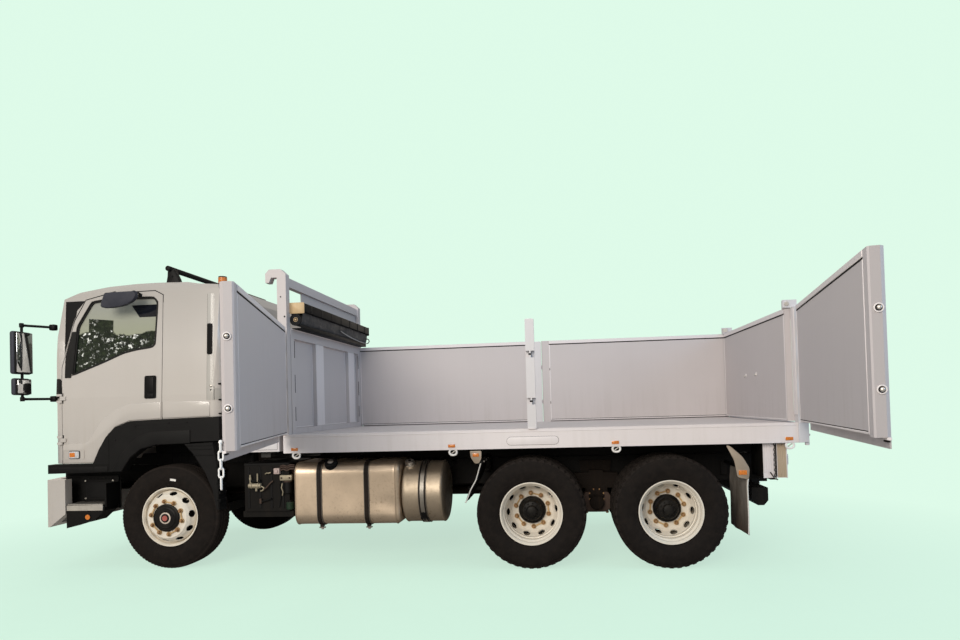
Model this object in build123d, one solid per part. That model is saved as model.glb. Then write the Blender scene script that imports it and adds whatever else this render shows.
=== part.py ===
"""Three-axle tipping-tray dump truck with barn-door side gates, as separate named solids.

Working frame: millimetres, +X towards the rear, -Y the truck's left side, +Z up, z = 0 on the ground,
x = 0 at the front axle and y = 0 on the centreline. Everything is moved by -ORIGIN when it is written,
so that the written frame has its origin at the bottom centre of the whole truck with its left gates open.
"""

from build123d import *
import math
import os

# ---- driving dimensions ----
ORIGIN = (2399.5, -1089.7, 0.0)

TYRE_R = 525.0  # 11R22.5 tyre, outer radius
TYRE_W = 279.0
TYRE_SIDES = 28
BEAD_R = 291.0
RIM_FLANGE_R = 298.5
RIM_HALF = 118.0
DISC_OFFSET = 165.0  # rim centre to the disc's mating face; twins stand twice this apart
DISC_T = 12.0
HUB_R = 128.0
HAND_HOLES = 10
TWIN_TURN = {"mid": 14.5, "rear": -13.0}  # how far each axle's twin wheels stand turned, in degrees
AXLE_Z = TYRE_R
FRONT_TYRE_Y = 1030.0
TWIN_FACE_Y = 920.0  # plane where the two discs of a twin wheel meet
REAR_AXLES_X = (3669.0, 4969.0)
TRUNNION_X = sum(REAR_AXLES_X) / 2
KINGPIN_Y = 920.0

RAIL_IN, RAIL_OUT = 355.0, 425.0  # chassis rail, distance from the centreline
RAIL_Z0, RAIL_Z1 = 730.0, 1000.0
RAIL_T = 9.0
RAIL_X0, RAIL_X1 = -1150.0, 6000.0

GAP = 6.0  # running clearance between panels that move apart

# tray
TRAY_X0, TRAY_X1 = 1238.0, 6178.0
TRAY_Y = 1200.0
SIDE_RAIL_Z0, SIDE_RAIL_Z1 = 1150.0, 1313.0
DECK_Z, FLOOR_Z = 1330.0, 1333.0
WALL_TOP = 2385.0
POST_IN, POST_OUT = 1130.0, 1216.0  # corner posts, distance from the centreline
FRONT_POST_X = (1213.0, 1305.0)
FRONT_POST_TOP = 2977.0
REAR_POST_X = (6124.0, 6213.0)
REAR_POST_TOP = WALL_TOP + GAP
CENTRE_POST_X = (3661.0, 3745.0)
SUBRAIL_IN, SUBRAIL_OUT = 380.0, 460.0
SUBRAIL_Z0, SUBRAIL_Z1 = RAIL_Z1 + 12.0, 1235.0
TAILGATE_X, TAILGATE_Z = 6080.0, 2425.0  # tailgate's top pins
TAILGATE_FACE_X = 6064.0
TIP_X, TIP_Z, TIP_PIN_R = 5950.0, 1060.0, 25.0  # tipping hinge
TIP_MAX = 48.0

# gates, in a frame of their own: s along the closed gate from the hinge pin, t inwards
GATE_PIN_Y = 1240.0
GATE_T0, GATE_T1 = 12.0, 100.0
GATE_Z0 = DECK_Z + 12.0
SKIRT_Z0 = 1266.0
FRONT_PIN_X, REAR_PIN_X = 1205.0, 6221.0
FRONT_GATE = dict(s0=107.0, s1=2448.0)
REAR_GATE = dict(s0=104.0, s1=2468.0)
FRONT_OPEN, REAR_OPEN = 74.0, 79.6  # left gates at rest
STRAP_Z = (1500.0, 1860.0, 2220.0)
LATCH_Z = (1593.0, 2042.0)
PIN_R = 9.0

# hoist: barrel pivot on the chassis, rod's eye under the tray
HOIST_X, HOIST_Z, HOIST_PIN_R = 2600.0, 800.0, 35.0
EYE_X, EYE_Z = 4200.0, 1095.0

# cab
CAB_HALF = 1195.0
CAB_WALL = 50.0
CAB_PIVOT_X, CAB_PIVOT_Z, CAB_PIN_R = -1190.0, 965.0, 20.0
DOOR_PIN_X, DOOR_PIN_Y = -1136.0, 1196.0
DOOR_HINGE_Z = (1330.0, 1760.0)
#            x,      z : side outline of the painted cab, from the front's bottom edge over the roof
CAB_SIDE = [
    (-1268, 1088), (-1290, 1800), (-1123, 2790), (-949, 2855), (-634, 2907), (-351, 2927),
    (-126, 2930), (208, 2920), (346, 2894), (552, 2877), (590, 2780), (590, 1532),
    (-36, 1520), (-378, 1509), (-532, 1454), (-631, 1353), (-703, 1237), (-775, 1088),
]
#            x,      z
DOOR_SIDE = [
    (-1130, 1000), (-1130, 2080), (-1000, 2560), (-880, 2770), (-620, 2830), (-120, 2835),
    (-36, 2790), (-36, 1400), (-500, 1400), (-620, 1300), (-700, 1000),
]
WINDOW_SIDE = [
    (-1022, 1987), (-688, 2107), (-448, 2203), (-308, 2231), (-142, 2251), (-107, 2282),
    (-84, 2724), (-132, 2778), (-578, 2785), (-818, 2757), (-978, 2500),
]
WINDSCREEN_FRONT = [(-1040, 1850), (1040, 1850), (1000, 2690), (-1000, 2690)]
REAR_WINDOW = [(-620, 2150), (620, 2150), (600, 2600), (-600, 2600)]
#            x,      z : black arch and sill below the painted edge
ARCH_SIDE = [
    (590, 1532), (-30, 1520), (-30, 1514), (-376, 1503), (-528, 1449), (-625, 1350), (-697, 1234),
    (-769, 1082), (-1262, 1082), (-1262, 990), (-455, 1001), (-356, 1141), (-244, 1223),
    (-79, 1264), (214, 1268), (232, 1284), (590, 1290),
]
#            x,      z : ribbed guard behind the front wheel
GUARD_SIDE = [
    (222, 1263), (520, 1275), (569, 1058), (579, 600), (546, 613), (510, 804), (433, 984), (315, 1165),
]

# towing jaw behind the lamp board
TOW_X, TOW_TOP, TOW_BORE_R = 6125.0, 740.0, 25.0

# tanks on the left of the chassis
FUEL_TANK = dict(x0=1316.0, x1=2392.0, y0=-1150.0, y1=-480.0, z0=422.0, z1=1047.0)
OIL_TANK = dict(x0=2404.0, x1=2822.0, y=-840.0, z=715.0, r=310.0)


# ---- helpers ----
def slab(x0, x1, y0, y1, z0, z1):
    """A box between corner coordinates."""
    return Pos((x0 + x1) / 2, (y0 + y1) / 2, (z0 + z1) / 2) * Box(x1 - x0, y1 - y0, z1 - z0)


def prism_y(outline, y0, y1):
    """An (x, z) outline made solid between y0 and y1."""
    face = make_face(Polyline(*[(x, y0, z) for x, z in outline], close=True))
    return extrude(face, amount=y1 - y0, dir=(0, 1, 0))


def prism_x(outline, x0, x1, radius=0):
    """A (y, z) outline made solid between x0 and x1."""
    points = [(x0, y, z) for y, z in outline]
    edge = FilletPolyline(*points, radius=radius, close=True) if radius else Polyline(*points, close=True)
    return extrude(make_face(edge), amount=x1 - x0, dir=(1, 0, 0))


def prism_z(outline, z0, z1, radius=0):
    """An (x, y) outline made solid between z0 and z1."""
    points = [(x, y, z0) for x, y in outline]
    edge = FilletPolyline(*points, radius=radius, close=True) if radius else Polyline(*points, close=True)
    return extrude(make_face(edge), amount=z1 - z0, dir=(0, 0, 1))


def rod_x(y, z, r, x0, x1):
    return Pos((x0 + x1) / 2, y, z) * Rot(0, 90, 0) * Cylinder(r, x1 - x0)


def rod_y(x, z, r, y0, y1):
    return Pos(x, (y0 + y1) / 2, z) * Rot(90, 0, 0) * Cylinder(r, y1 - y0)


def rod_z(x, y, r, z0, z1):
    return Pos(x, y, (z0 + z1) / 2) * Cylinder(r, z1 - z0)


def other_side(shape):
    """The same piece on the right side of the truck."""
    return mirror(shape, about=Plane.XZ)


def both_sides(shape):
    return shape + other_side(shape)


def loose(*shapes):
    """Solids that touch but stay separate, as one node."""
    return Compound([solid for shape in shapes for solid in shape.solids()])


def loose_pair(*shapes):
    """The same on both sides of the truck."""
    return loose(*shapes, *[other_side(shape) for shape in shapes])


def turned(profile):
    """An (r, y) outline turned about the Y axis."""
    return revolve(make_face(Polyline(*[(r, y, 0) for r, y in profile], close=True)), Axis.Y)


# ---- wheels: built about the Y axis, outboard towards -Y, rim centre at y = 0 ----
def tyre():
    """A tyre as a many-sided ring of flat bands; the lowest band lies flat on the ground."""
    half = TYRE_W / 2
    step = 2 * math.pi / TYRE_SIDES
    corner = 1 / math.cos(step / 2)
    #         radius,        y
    bands = [
        (BEAD_R + 9, 0.74 * half), (0.80 * TYRE_R, half), (0.955 * TYRE_R, 0.86 * half), (TYRE_R, 0.68 * half),
    ]

    def ring(radius, y):
        turn = [(i + 0.5) * step for i in range(TYRE_SIDES)]
        points = [(radius * corner * math.cos(a), y, radius * corner * math.sin(a)) for a in turn]
        return make_face(Polyline(*points, close=True))

    rings = [ring(r, -y) for r, y in bands] + [ring(r, y) for r, y in reversed(bands)]
    outer = loft(rings, ruled=True)
    return outer - extrude(ring(BEAD_R, -half), amount=TYRE_W, dir=(0, 1, 0))


def rim():
    """A steel disc wheel with ten hand holes; its disc's mating face is at y = -DISC_OFFSET."""
    flange, half = RIM_FLANGE_R, RIM_HALF
    barrel = turned([
        (flange, -half), (flange, -half + 8), (287, -half + 12), (284, -60), (268, -42), (268, 42), (284, 60),
        (287, half - 12), (flange, half - 8), (flange, half), (289, half), (277, half - 20), (275, 66),
        (259, 48), (259, -48), (275, -66), (277, -half + 20), (289, -half),
    ])
    face = -DISC_OFFSET
    disc = turned([
        (263, -44), (262, -84), (230, -142), (206, face), (HUB_R - 2, face), (HUB_R - 2, face + DISC_T),
        (198, face + DISC_T), (220, -132), (251, -78), (251, -30), (263, -26),
    ])
    for i in range(HAND_HOLES):
        angle = 360 / HAND_HOLES * (i + 0.5)
        disc -= Rot(0, angle, 0) * Pos(238, -116, 0) * Rot(0, 0, 60) * Rot(90, 0, 0) * Cylinder(36, 70)
    return barrel + disc


def drum(face):
    """Hub and brake drum inboard of a disc whose mating plane is at y = face, bored for the stub axle."""
    return turned([
        (205, face), (212, face + 20), (212, face + 190), (194, face + 190), (194, face + 34),
        (100, face + 34), (100, face + 170), (52, face + 170), (52, face),
    ])


def front_wheel():
    hub = turned([
        (0, -202), (40, -202), (44, -194), (96, -190), (HUB_R, -182), (HUB_R, -153), (52, -153), (0, -153),
    ])
    return rim() + hub + drum(-DISC_OFFSET + DISC_T)


def twin_wheel():
    """Two rims disc to disc, with the hub between them; the discs meet at y = 0."""
    outer = mirror(Pos(0, DISC_OFFSET, 0) * rim(), about=Plane.XZ)
    inner = Pos(0, DISC_OFFSET, 0) * rim()
    hub = turned([
        (0, -150), (44, -148), (52, -112), (84, -104), (94, -94), (102, -50), (HUB_R, -38), (HUB_R, DISC_T),
        (52, DISC_T), (0, DISC_T),
    ])
    return outer + inner + hub + drum(DISC_T)


def twin_tyres():
    return Pos(0, -DISC_OFFSET, 0) * tyre() + Pos(0, DISC_OFFSET, 0) * tyre()


# ---- chassis ----
def chassis_frame():
    channel = slab(RAIL_X0, RAIL_X1, -RAIL_OUT, -RAIL_IN, RAIL_Z0, RAIL_Z1)
    channel -= slab(RAIL_X0 - 1, RAIL_X1 + 1, -RAIL_OUT + RAIL_T, -RAIL_IN + 1, RAIL_Z0 + RAIL_T, RAIL_Z1 - RAIL_T)
    web = RAIL_OUT - RAIL_T
    #            x,   half length, z0,  z1
    crossings = [(-1110, 35, 770, 960), (1480, 40, 780, 960), (2380, 45, 760, 960), (3230, 35, 745, 790),
                 (TRUNNION_X, 60, 745, 930), (5300, 40, 770, 960), (5960, 38, 745, 985)]
    crossings = [slab(x - half, x + half, -web, web, z0, z1) for x, half, z0, z1 in crossings]
    # hoist bearing behind the third crossing
    ears = both_sides(slab(2425, HOIST_X + 60, -150, -115, 760, 860))
    bearing = ears + rod_y(HOIST_X, HOIST_Z, HOIST_PIN_R, -150, 150)
    # tipping hinge ears with their pins, rest pads for the tray, cab pivots and the cab's rear rests
    tipping = slab(5900, RAIL_X1, -372, -RAIL_IN, RAIL_Z1, 1108) + rod_y(TIP_X, TIP_Z, TIP_PIN_R, -484, -RAIL_IN)
    pads = [slab(x - 60, x + 60, -RAIL_OUT, -RAIL_IN, RAIL_Z1, RAIL_Z1 + 5) for x in (1700, 3000, 5100)]
    pivot = slab(-1235, -1145, -RAIL_IN, -RAIL_IN + 15, 880, 990)
    pivot += rod_y(CAB_PIVOT_X, CAB_PIVOT_Z, CAB_PIN_R, -RAIL_OUT - 15, -RAIL_IN + 1)
    rest = slab(470, 560, -RAIL_OUT, -RAIL_IN, RAIL_Z1, 1524)
    return loose(*crossings, bearing, loose_pair(channel, tipping, *pads, pivot, rest))


def front_bumper():
    outline = [(-1372, -900), (-1300, -1195), (-1090, -1215), (-1090, -1120), (-1230, -1110), (-1272, -860),
               (-1272, 860), (-1230, 1110), (-1090, 1120), (-1090, 1215), (-1300, 1195), (-1372, 900)]
    body = prism_z(outline, 440, 925)
    body -= prism_y([(-1500, 300), (-1280, 440), (-1000, 640), (-1000, 300)], -1300, 1300)
    for y in (-860, 860):
        body -= slab(-1420, -1335, y - 170, y + 170, 640, 800)
    lamps = both_sides(slab(-1350, -1300, -1030, -690, 640, 800))
    arms = both_sides(slab(-1290, RAIL_X0, -RAIL_OUT, -RAIL_IN, 760, 900))
    return body + lamps + arms


def cab_steps():
    """Lower entry step each side, with its well and the stays to the chassis rail."""
    tread = slab(-1070, -665, -1212, -1010, 606, 664)
    well = slab(-1070, -650, -1010, -985, 606, 940)
    back = slab(-668, -650, -1200, -985, 640, 880)
    lip = prism_y([(-1080, 430), (-1080, 606), (-665, 606), (-790, 500), (-940, 470)], -1212, -1010)
    stay = slab(-960, -880, -985, -RAIL_OUT, 760, 820)
    return both_sides(tread + well + back + lip + stay)


def front_axle():
    beam = slab(-55, 55, -KINGPIN_Y + 40, KINGPIN_Y - 40, 400, 500)
    for side in (-1, 1):
        eye = rod_z(0, side * KINGPIN_Y, 55, 400, 510) - rod_z(0, side * KINGPIN_Y, 25.5, 390, 520)
        beam = beam - rod_z(0, side * KINGPIN_Y, 54, 390, 520) + eye
        leaves = prism_y([(-820, 660), (-420, 590), (0, 560), (420, 590), (820, 660), (820, 690), (420, 650),
                          (0, 640), (-420, 650), (-820, 690)], 0, 80)
        seat = slab(-90, 90, 0, 80, 495, 565)
        hangers = slab(-850, -790, 20, 60, 650, RAIL_Z0) + slab(790, 850, 20, 60, 650, RAIL_Z0)
        spring = leaves + seat + hangers
        beam += Pos(0, 350 if side > 0 else -430, 0) * spring
    return beam


def knuckle():
    """Left steering knuckle: kingpin, yoke, backing plate and stub axle."""
    y = -KINGPIN_Y
    pin = rod_z(0, y, 25, 340, 590)
    yoke = slab(-50, 50, y - 60, y + 40, 345, 394) + slab(-50, 50, y - 60, y + 40, 516, 590)
    web = slab(-50, 50, y - 75, y - 58, 345, 640)
    stub = rod_y(0, AXLE_Z, 50, y - 245, y - 60)
    return pin + yoke + web + stub


def drive_axles():
    axles = None
    for x in REAR_AXLES_X:
        axle = rod_y(x, AXLE_Z, 50, -TWIN_FACE_Y + 15, TWIN_FACE_Y - 15)
        axle += rod_y(x, AXLE_Z, 80, -700, 700)
        axle += rod_x(0, AXLE_Z, 190, x - 130, x + 150)
        axle += rod_x(0, AXLE_Z, 110, x - 210, x + 60)
        axles = axle if axles is None else axles + axle
    return axles


def rear_suspension():
    """Leaf packs over the two drive axles, rocking on a trunnion under each rail."""
    leaf_rows = 7
    thick = 22
    pack = None
    for i in range(leaf_rows):
        reach = 700 - 80 * i
        drop = 70 * (reach / 700) ** 2
        z = 690 + thick * i
        leaf = prism_y([(-reach, z - drop), (-reach / 2, z - drop / 4), (0, z), (reach / 2, z - drop / 4),
                        (reach, z - drop), (reach, z - drop + thick - 2), (reach / 2, z - drop / 4 + thick - 1),
                        (0, z + thick), (-reach / 2, z - drop / 4 + thick - 1), (-reach, z - drop + thick - 2)],
                       -570, -480)
        pack = leaf if pack is None else pack + leaf
    saddle = slab(-95, 95, -580, -470, 520, 695) + slab(-70, 70, -575, -475, 690, 865)
    trunnion = rod_y(0, 540, 75, -640, -430)
    cap = prism_y([(70 * math.cos(math.radians(a)), 540 + 70 * math.sin(math.radians(a)))
                   for a in range(0, 360, 60)], -665, -640)
    bracket = prism_y([(-170, RAIL_Z1 - 40), (170, RAIL_Z1 - 40), (90, 500), (-90, 500)], -465, -RAIL_OUT)
    seats = None
    for x in REAR_AXLES_X:
        dx = x - TRUNNION_X
        pad = slab(dx - 60, dx + 60, -570, -480, AXLE_Z + 80.2, AXLE_Z + 104)
        seats = pad if seats is None else seats + pad
    rods = rod_x(-520, 470, 24, -560, 560) + slab(-40, 40, -545, -495, 446, 530)
    return Pos(TRUNNION_X, 0, 0) * both_sides(pack + saddle + trunnion + cap + bracket + rods + seats)


def engine_block():
    block = slab(-520, 700, -320, 320, 640, 1400) + slab(-620, -520, -300, 300, 700, 1250)
    foot = -RAIL_OUT + RAIL_T
    return block + both_sides(slab(-260, -160, foot, -310, RAIL_Z0 + RAIL_T, 840) + slab(
        480, 580, foot, -310, RAIL_Z0 + RAIL_T, 840))


def driveline():
    gearbox = prism_x([(-210, 600), (210, 600), (210, 880), (120, 960), (-120, 960), (-210, 880)], 700, 1180)
    mount = slab(1000, 1060, -RAIL_OUT + RAIL_T, -210, RAIL_Z0 + RAIL_T, 800)
    output = rod_x(0, 700, 110, 1180, 1420)
    front_shaft = rod_x(0, 610, 50, 1420, REAR_AXLES_X[0] - 210)
    rear_shaft = rod_x(0, 560, 45, REAR_AXLES_X[0] + 150, REAR_AXLES_X[1] - 210)
    return loose(gearbox, mount, other_side(mount), output, front_shaft, rear_shaft)


def fuel_tank():
    t = FUEL_TANK

    def shell(x0, x1, grow, radius):
        outline = [(t["y0"] - grow, t["z0"] - grow), (t["y1"] + grow, t["z0"] - grow),
                   (t["y1"] + grow, t["z1"] + grow), (t["y0"] - grow, t["z1"] + grow)]
        return prism_x(outline, x0, x1, radius)

    tank = shell(t["x0"], t["x1"], 0, 110)
    for x in (1550, 2030):
        tank += shell(x, x + 52, 6, 116)
        tank += slab(x, x + 52, t["y1"], -RAIL_OUT, 760, 900)
    return tank + rod_z(1700, -1040, 62, t["z1"] - 20, t["z1"] + 45)


def oil_tank():
    t = OIL_TANK
    tank = rod_x(t["y"], t["z"], t["r"], t["x0"], t["x1"])
    tank += rod_x(t["y"], t["z"], t["r"] + 7, 2577, 2653)
    tank += slab(2577, 2653, t["y"] + t["r"] - 30, -RAIL_OUT, 740, 900)
    return tank + rod_z(2500, t["y"] - 60, 50, t["z"] + 280, t["z"] + 345)


def battery_box():
    box = slab(770, 1240, -1080, -500, 560, 1040)
    box += slab(740, 1270, -1060, -520, 500, 560)
    box += slab(900, 980, -500, -RAIL_OUT, 760, 900) + slab(1100, 1180, -500, -RAIL_OUT, 760, 900)
    return box


def exhaust():
    """Muffler and tail pipe, and the air reservoir behind them, on the right rail."""
    muffler = prism_x([(520, 480), (1060, 480), (1060, 960), (520, 960)], 1080, 1720, 90)
    stays = [slab(x, x + 60, RAIL_OUT, 520, 760, 860) for x in (1200, 1540)]
    pipe = rod_x(700, 700, 55, 1720, 1960)
    reservoir = rod_x(760, 640, 130, 2050, 2900)
    for x in (2150, 2740):
        reservoir += slab(x, x + 60, RAIL_OUT, 700, 735, 775) + slab(x, x + 60, 640, 700, 690, 740)
    return loose(muffler, *stays, pipe, reservoir)


def wheel_guards():
    """Ribbed guards behind the front wheels, on stays from the chassis rails."""
    guard = prism_y(GUARD_SIDE, -1235, -1095)
    for i in range(6):
        z = 1060 - 75 * i
        guard += slab(556, 588, -1230, -1100, z, z + 26)
    stay = slab(500, 540, -1095, -RAIL_OUT, 1090, 1130)
    post = slab(500, 552, -RAIL_OUT - 30, -RAIL_OUT, 880, 1090)
    return loose_pair(guard, stay, post)


def mudflaps():
    """Flaps ahead of and behind the drive wheels, their bars, and the lamp brackets at the flaps' outer ends."""
    hung = prism_y([(3199, 1012), (3211, 1012), (3128, 790), (3058, 640), (3046, 640), (3116, 790)], -1222, -625)
    front = [
        hung, slab(3150, 3225, -1226, -470, 1012, 1040),
        slab(3150, 3225, -490, -470, 900, 1012), slab(3150, 3225, -490, -RAIL_OUT, 860, 900),
        slab(3102, 3215, -1236, -1226, 1015, 1135),
    ]
    bracket = prism_y([(5472, 1141), (5515, 1127), (5618, 1028), (5676, 924), (5666, 822), (5567, 843),
                       (5542, 998)], -1236, -1226)
    rear = [
        slab(5652, 5664, -1222, -625, 310, 900), slab(5640, 5676, -1226, -445, 900, 930),
        slab(5600, 5676, -445, -RAIL_OUT, 780, 930), bracket,
    ]
    return loose_pair(*front, *rear)


def rear_bar():
    """Beam across the chassis end with the towing block, and the under-run guard on its droppers."""
    bar = slab(RAIL_X1, 6040, -760, 760, 760, 930)
    tow = slab(RAIL_X1, 6078, -110, 110, 620, 760) + slab(6070, 6175, -60, 60, 660, TOW_TOP)
    tow -= rod_z(TOW_X, 0, TOW_BORE_R, 650, TOW_TOP + 10)
    guard = prism_y([(5750, 605), (5805, 550), (5860, 550), (5900, 595), (5900, 715), (5750, 715)], -1000, 1000)
    dropper = slab(5790, 5830, -RAIL_OUT + 5, -RAIL_IN - 5, 715, RAIL_Z0)
    return loose(bar, tow), loose(guard, loose_pair(dropper))


def lamp_boxes():
    """Box for the tail lamps at each end of the rear beam."""
    return loose_pair(slab(5830, 6040, -1120, -760, 820, 1140))


def front_lockers():
    """Lockers between cab and tray, on a beam over the chassis rails."""
    beam = slab(960, 1060, -1100, 1100, 1105, 1165)
    foot = slab(960, 1060, -RAIL_OUT, -RAIL_IN, RAIL_Z1, 1105)
    locker = slab(800, 1196, -1200, -560, 1165, 1420)
    return loose(beam, loose_pair(foot, locker))


# ---- cab ----
def cab_body(inset):
    """The cab's outside form moved in by inset: side, front and plan outlines crossed."""
    def inward(points, plane_points):
        face = make_face(Polyline(*plane_points, close=True))
        return face if not inset else offset(face, amount=-inset, kind=Kind.INTERSECTION)

    side = inward(CAB_SIDE, [(x, -1400, z) for x, z in CAB_SIDE])
    body = extrude(side, amount=2800, dir=(0, 1, 0))
    half, top = CAB_HALF - inset, 2965 - inset
    front = [(-half, 900), (half, 900), (half, 1760), (half - 62, top), (-half + 62, top), (-half, 1760)]
    radii = [0, 0, 0, 150 - inset, 150 - inset, 0]
    corners = FilletPolyline(*[(-1500, y, z) for y, z in front], radius=radii, close=True)
    body &= extrude(make_face(corners), amount=2400, dir=(1, 0, 0))
    x0, x1 = -1300 + inset, 590 - inset
    plan = [(x0, -half), (x1, -half), (x1, half), (x0, half)]
    radii = [230 - inset, 110 - inset, 110 - inset, 230 - inset]
    corners = FilletPolyline(*[(x, y, 800) for x, y in plan], radius=radii, close=True)
    return body & extrude(make_face(corners), amount=2400, dir=(0, 0, 1))


def door_hinge(z):
    """Pin with two lugs for the shell, and the sleeve with its arm for the left door."""
    fixed = rod_z(DOOR_PIN_X, -DOOR_PIN_Y, 6, z - 45, z + 45)
    for z0 in (z - 45, z + 22):
        fixed += rod_z(DOOR_PIN_X, -DOOR_PIN_Y, 13, z0, z0 + 23)
        fixed += slab(DOOR_PIN_X - 40, DOOR_PIN_X, -DOOR_PIN_Y - 13, -DOOR_PIN_Y + 40, z0, z0 + 23)
    moving = rod_z(DOOR_PIN_X, -DOOR_PIN_Y, 12, z - 20, z + 20)
    moving += slab(DOOR_PIN_X, DOOR_PIN_X + 56, -DOOR_PIN_Y - 12, -DOOR_PIN_Y + 20, z - 20, z + 20)
    return fixed, moving - rod_z(DOOR_PIN_X, -DOOR_PIN_Y, 6.5, z - 30, z + 30)


def cab_pieces():
    """The shell, the left door and the glass, cut from the same walls."""
    outer, inner = cab_body(0), cab_body(CAB_WALL)
    glass_layer = cab_body(20) - cab_body(27)
    walls = outer - inner

    def side_layer(depth):
        return prism_x([(-1400, 900), (-1145 + depth, 900), (-1145 + depth, 1760), (-1083 + depth, 2965),
                        (-1400, 2965)], -1500, 800)

    leaf = (walls & prism_y(DOOR_SIDE, -1400, -1000) & side_layer(0)) - prism_y(WINDOW_SIDE, -1400, -1000)
    opening = offset(make_face(Polyline(*[(x, -1400, z) for x, z in DOOR_SIDE], close=True)), amount=GAP,
                     kind=Kind.INTERSECTION)
    doorway = extrude(opening, amount=400, dir=(0, 1, 0)) & side_layer(GAP)
    shell = walls - doorway - other_side(doorway)
    for z in DOOR_HINGE_Z:
        fixed, moving = door_hinge(z)
        leaf = leaf - rod_z(DOOR_PIN_X, -DOOR_PIN_Y, 24, z - 52, z + 52) + moving
        shell = shell - both_sides(rod_z(DOOR_PIN_X, -DOOR_PIN_Y, 15, z - 22, z + 22)) + both_sides(fixed)
    screen = prism_x(WINDSCREEN_FRONT, -1450, -900)
    back = prism_x(REAR_WINDOW, 450, 700)
    shell = shell - screen - back
    pane = glass_layer & prism_y(WINDOW_SIDE, -1400, -1000)
    fixed_glass = (glass_layer & screen) + (glass_layer & back)
    return shell, leaf, pane, fixed_glass


def cab_underbody():
    """Black wheel-arch and sill panels each side, and the two rings the cab tilts on."""
    side = prism_y(ARCH_SIDE, -1232, -1125)
    ring = rod_y(CAB_PIVOT_X, CAB_PIVOT_Z, 34, -RAIL_OUT - 9, -RAIL_IN - 3)
    ring += slab(CAB_PIVOT_X - 30, CAB_PIVOT_X + 30, -RAIL_OUT - 9, -RAIL_IN - 3, CAB_PIVOT_Z + 20, 1088)
    ring -= rod_y(CAB_PIVOT_X, CAB_PIVOT_Z, CAB_PIN_R + 1, -RAIL_OUT - 20, -RAIL_IN + 10)
    return both_sides(side + ring)


def kerb_mirror():
    """Wide mirror over the left door's window, on two stays from the door's top edge."""
    head = slab(-595, -202, -1335, -1275, 2648, 2812)
    stays = slab(-540, -515, -1280, -1100, 2794, 2812) + slab(-285, -260, -1280, -1100, 2794, 2812)
    return (head + stays) - cab_body(0)


def cab_interior():
    """Seats, dash and steering wheel; the driver sits on the right."""
    inside = slab(-1130, -800, -1050, 1050, 1640, 1840) + both_sides(slab(-1130, -1000, -900, -450, 1138, 1660))
    for y, width in ((-600, 520), (600, 520), (0, 420)):
        base = slab(-360, 160, y - width / 2, y + width / 2, 1574, 1760)
        rest = prism_y([(60, 1740), (200, 1740), (330, 2300), (230, 2300)], y - width / 2, y + width / 2)
        head = slab(250, 340, y - 130, y + 130, 2290, 2500)
        inside += base + rest + head
    column = Pos(-720, 600, 1800) * Rot(0, -60, 0) * (Cylinder(28, 420))
    wheel = Pos(-620, 600, 1860) * Rot(0, -30, 0) * Torus(215, 18)
    spoke = Pos(-620, 600, 1860) * Rot(0, -30, 0) * Box(60, 430, 14)
    return inside + column + wheel + spoke


def cab_front():
    """Grille panel, lamp housings and wiper cowl on the cab's face."""
    panel = slab(-1310, -1262, -820, 820, 1180, 1560)
    for i in range(4):
        z = 1215 + 82 * i
        panel -= slab(-1320, -1295, -760, 760, z, z + 46)
    panel += slab(-1312, -1262, -1000, 1000, 1640, 1760)
    return panel - cab_body(0)


def roof_bar():
    bar = rod_y(0, 3070, 24, -1096, 1096)
    feet = both_sides(prism_y([(-30, 2900), (105, 2900), (60, 3060), (-20, 3060)], -1075, -1030))
    beacon = rod_z(0, 0, 48, 3090, 3195) + slab(-60, 60, -60, 60, 3050, 3092)
    return (bar + feet + beacon) - cab_body(0)


def mirrors():
    head = slab(-1440, -1370, -1500, -1270, 2010, 2440) + slab(-1440, -1370, -1490, -1290, 1800, 1970)
    arm = rod_z(-1400, -1385, 16, 1740, 2520)
    arm += slab(-1416, -1240, -1400, -1120, 2490, 2520) + slab(-1416, -1240, -1400, -1120, 1745, 1775)
    return both_sides(head + arm) - cab_body(0)


# ---- tray ----
def tray_deck():
    """Deck plate on its four edge rails."""
    deck = slab(TRAY_X0, TRAY_X1, -TRAY_Y, TRAY_Y, SIDE_RAIL_Z1, DECK_Z)
    side = slab(TRAY_X0, TRAY_X1, -TRAY_Y, -TRAY_Y + 60, SIDE_RAIL_Z0, SIDE_RAIL_Z1)
    front = slab(TRAY_X0, TRAY_X0 + 60, -TRAY_Y + 60, TRAY_Y - 60, SIDE_RAIL_Z0, SIDE_RAIL_Z1)
    rear = slab(TRAY_X1 - 60, TRAY_X1, -TRAY_Y + 60, TRAY_Y - 60, SIDE_RAIL_Z0, SIDE_RAIL_Z1)
    return loose(deck, side, other_side(side), front, rear)


def tray_floor():
    """Wear sheet on the deck, inside the posts, the headboard and the tailgate."""
    return slab(FRONT_POST_X[1] + 11, TAILGATE_FACE_X - 6, -1112, 1112, DECK_Z, FLOOR_Z)


def tray_crossmembers():
    rows = [1700 + 420 * i for i in range(11)]
    return loose(*[slab(x - 30, x + 30, -TRAY_Y + 60, TRAY_Y - 60, SUBRAIL_Z1, SIDE_RAIL_Z1) for x in rows])


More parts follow.
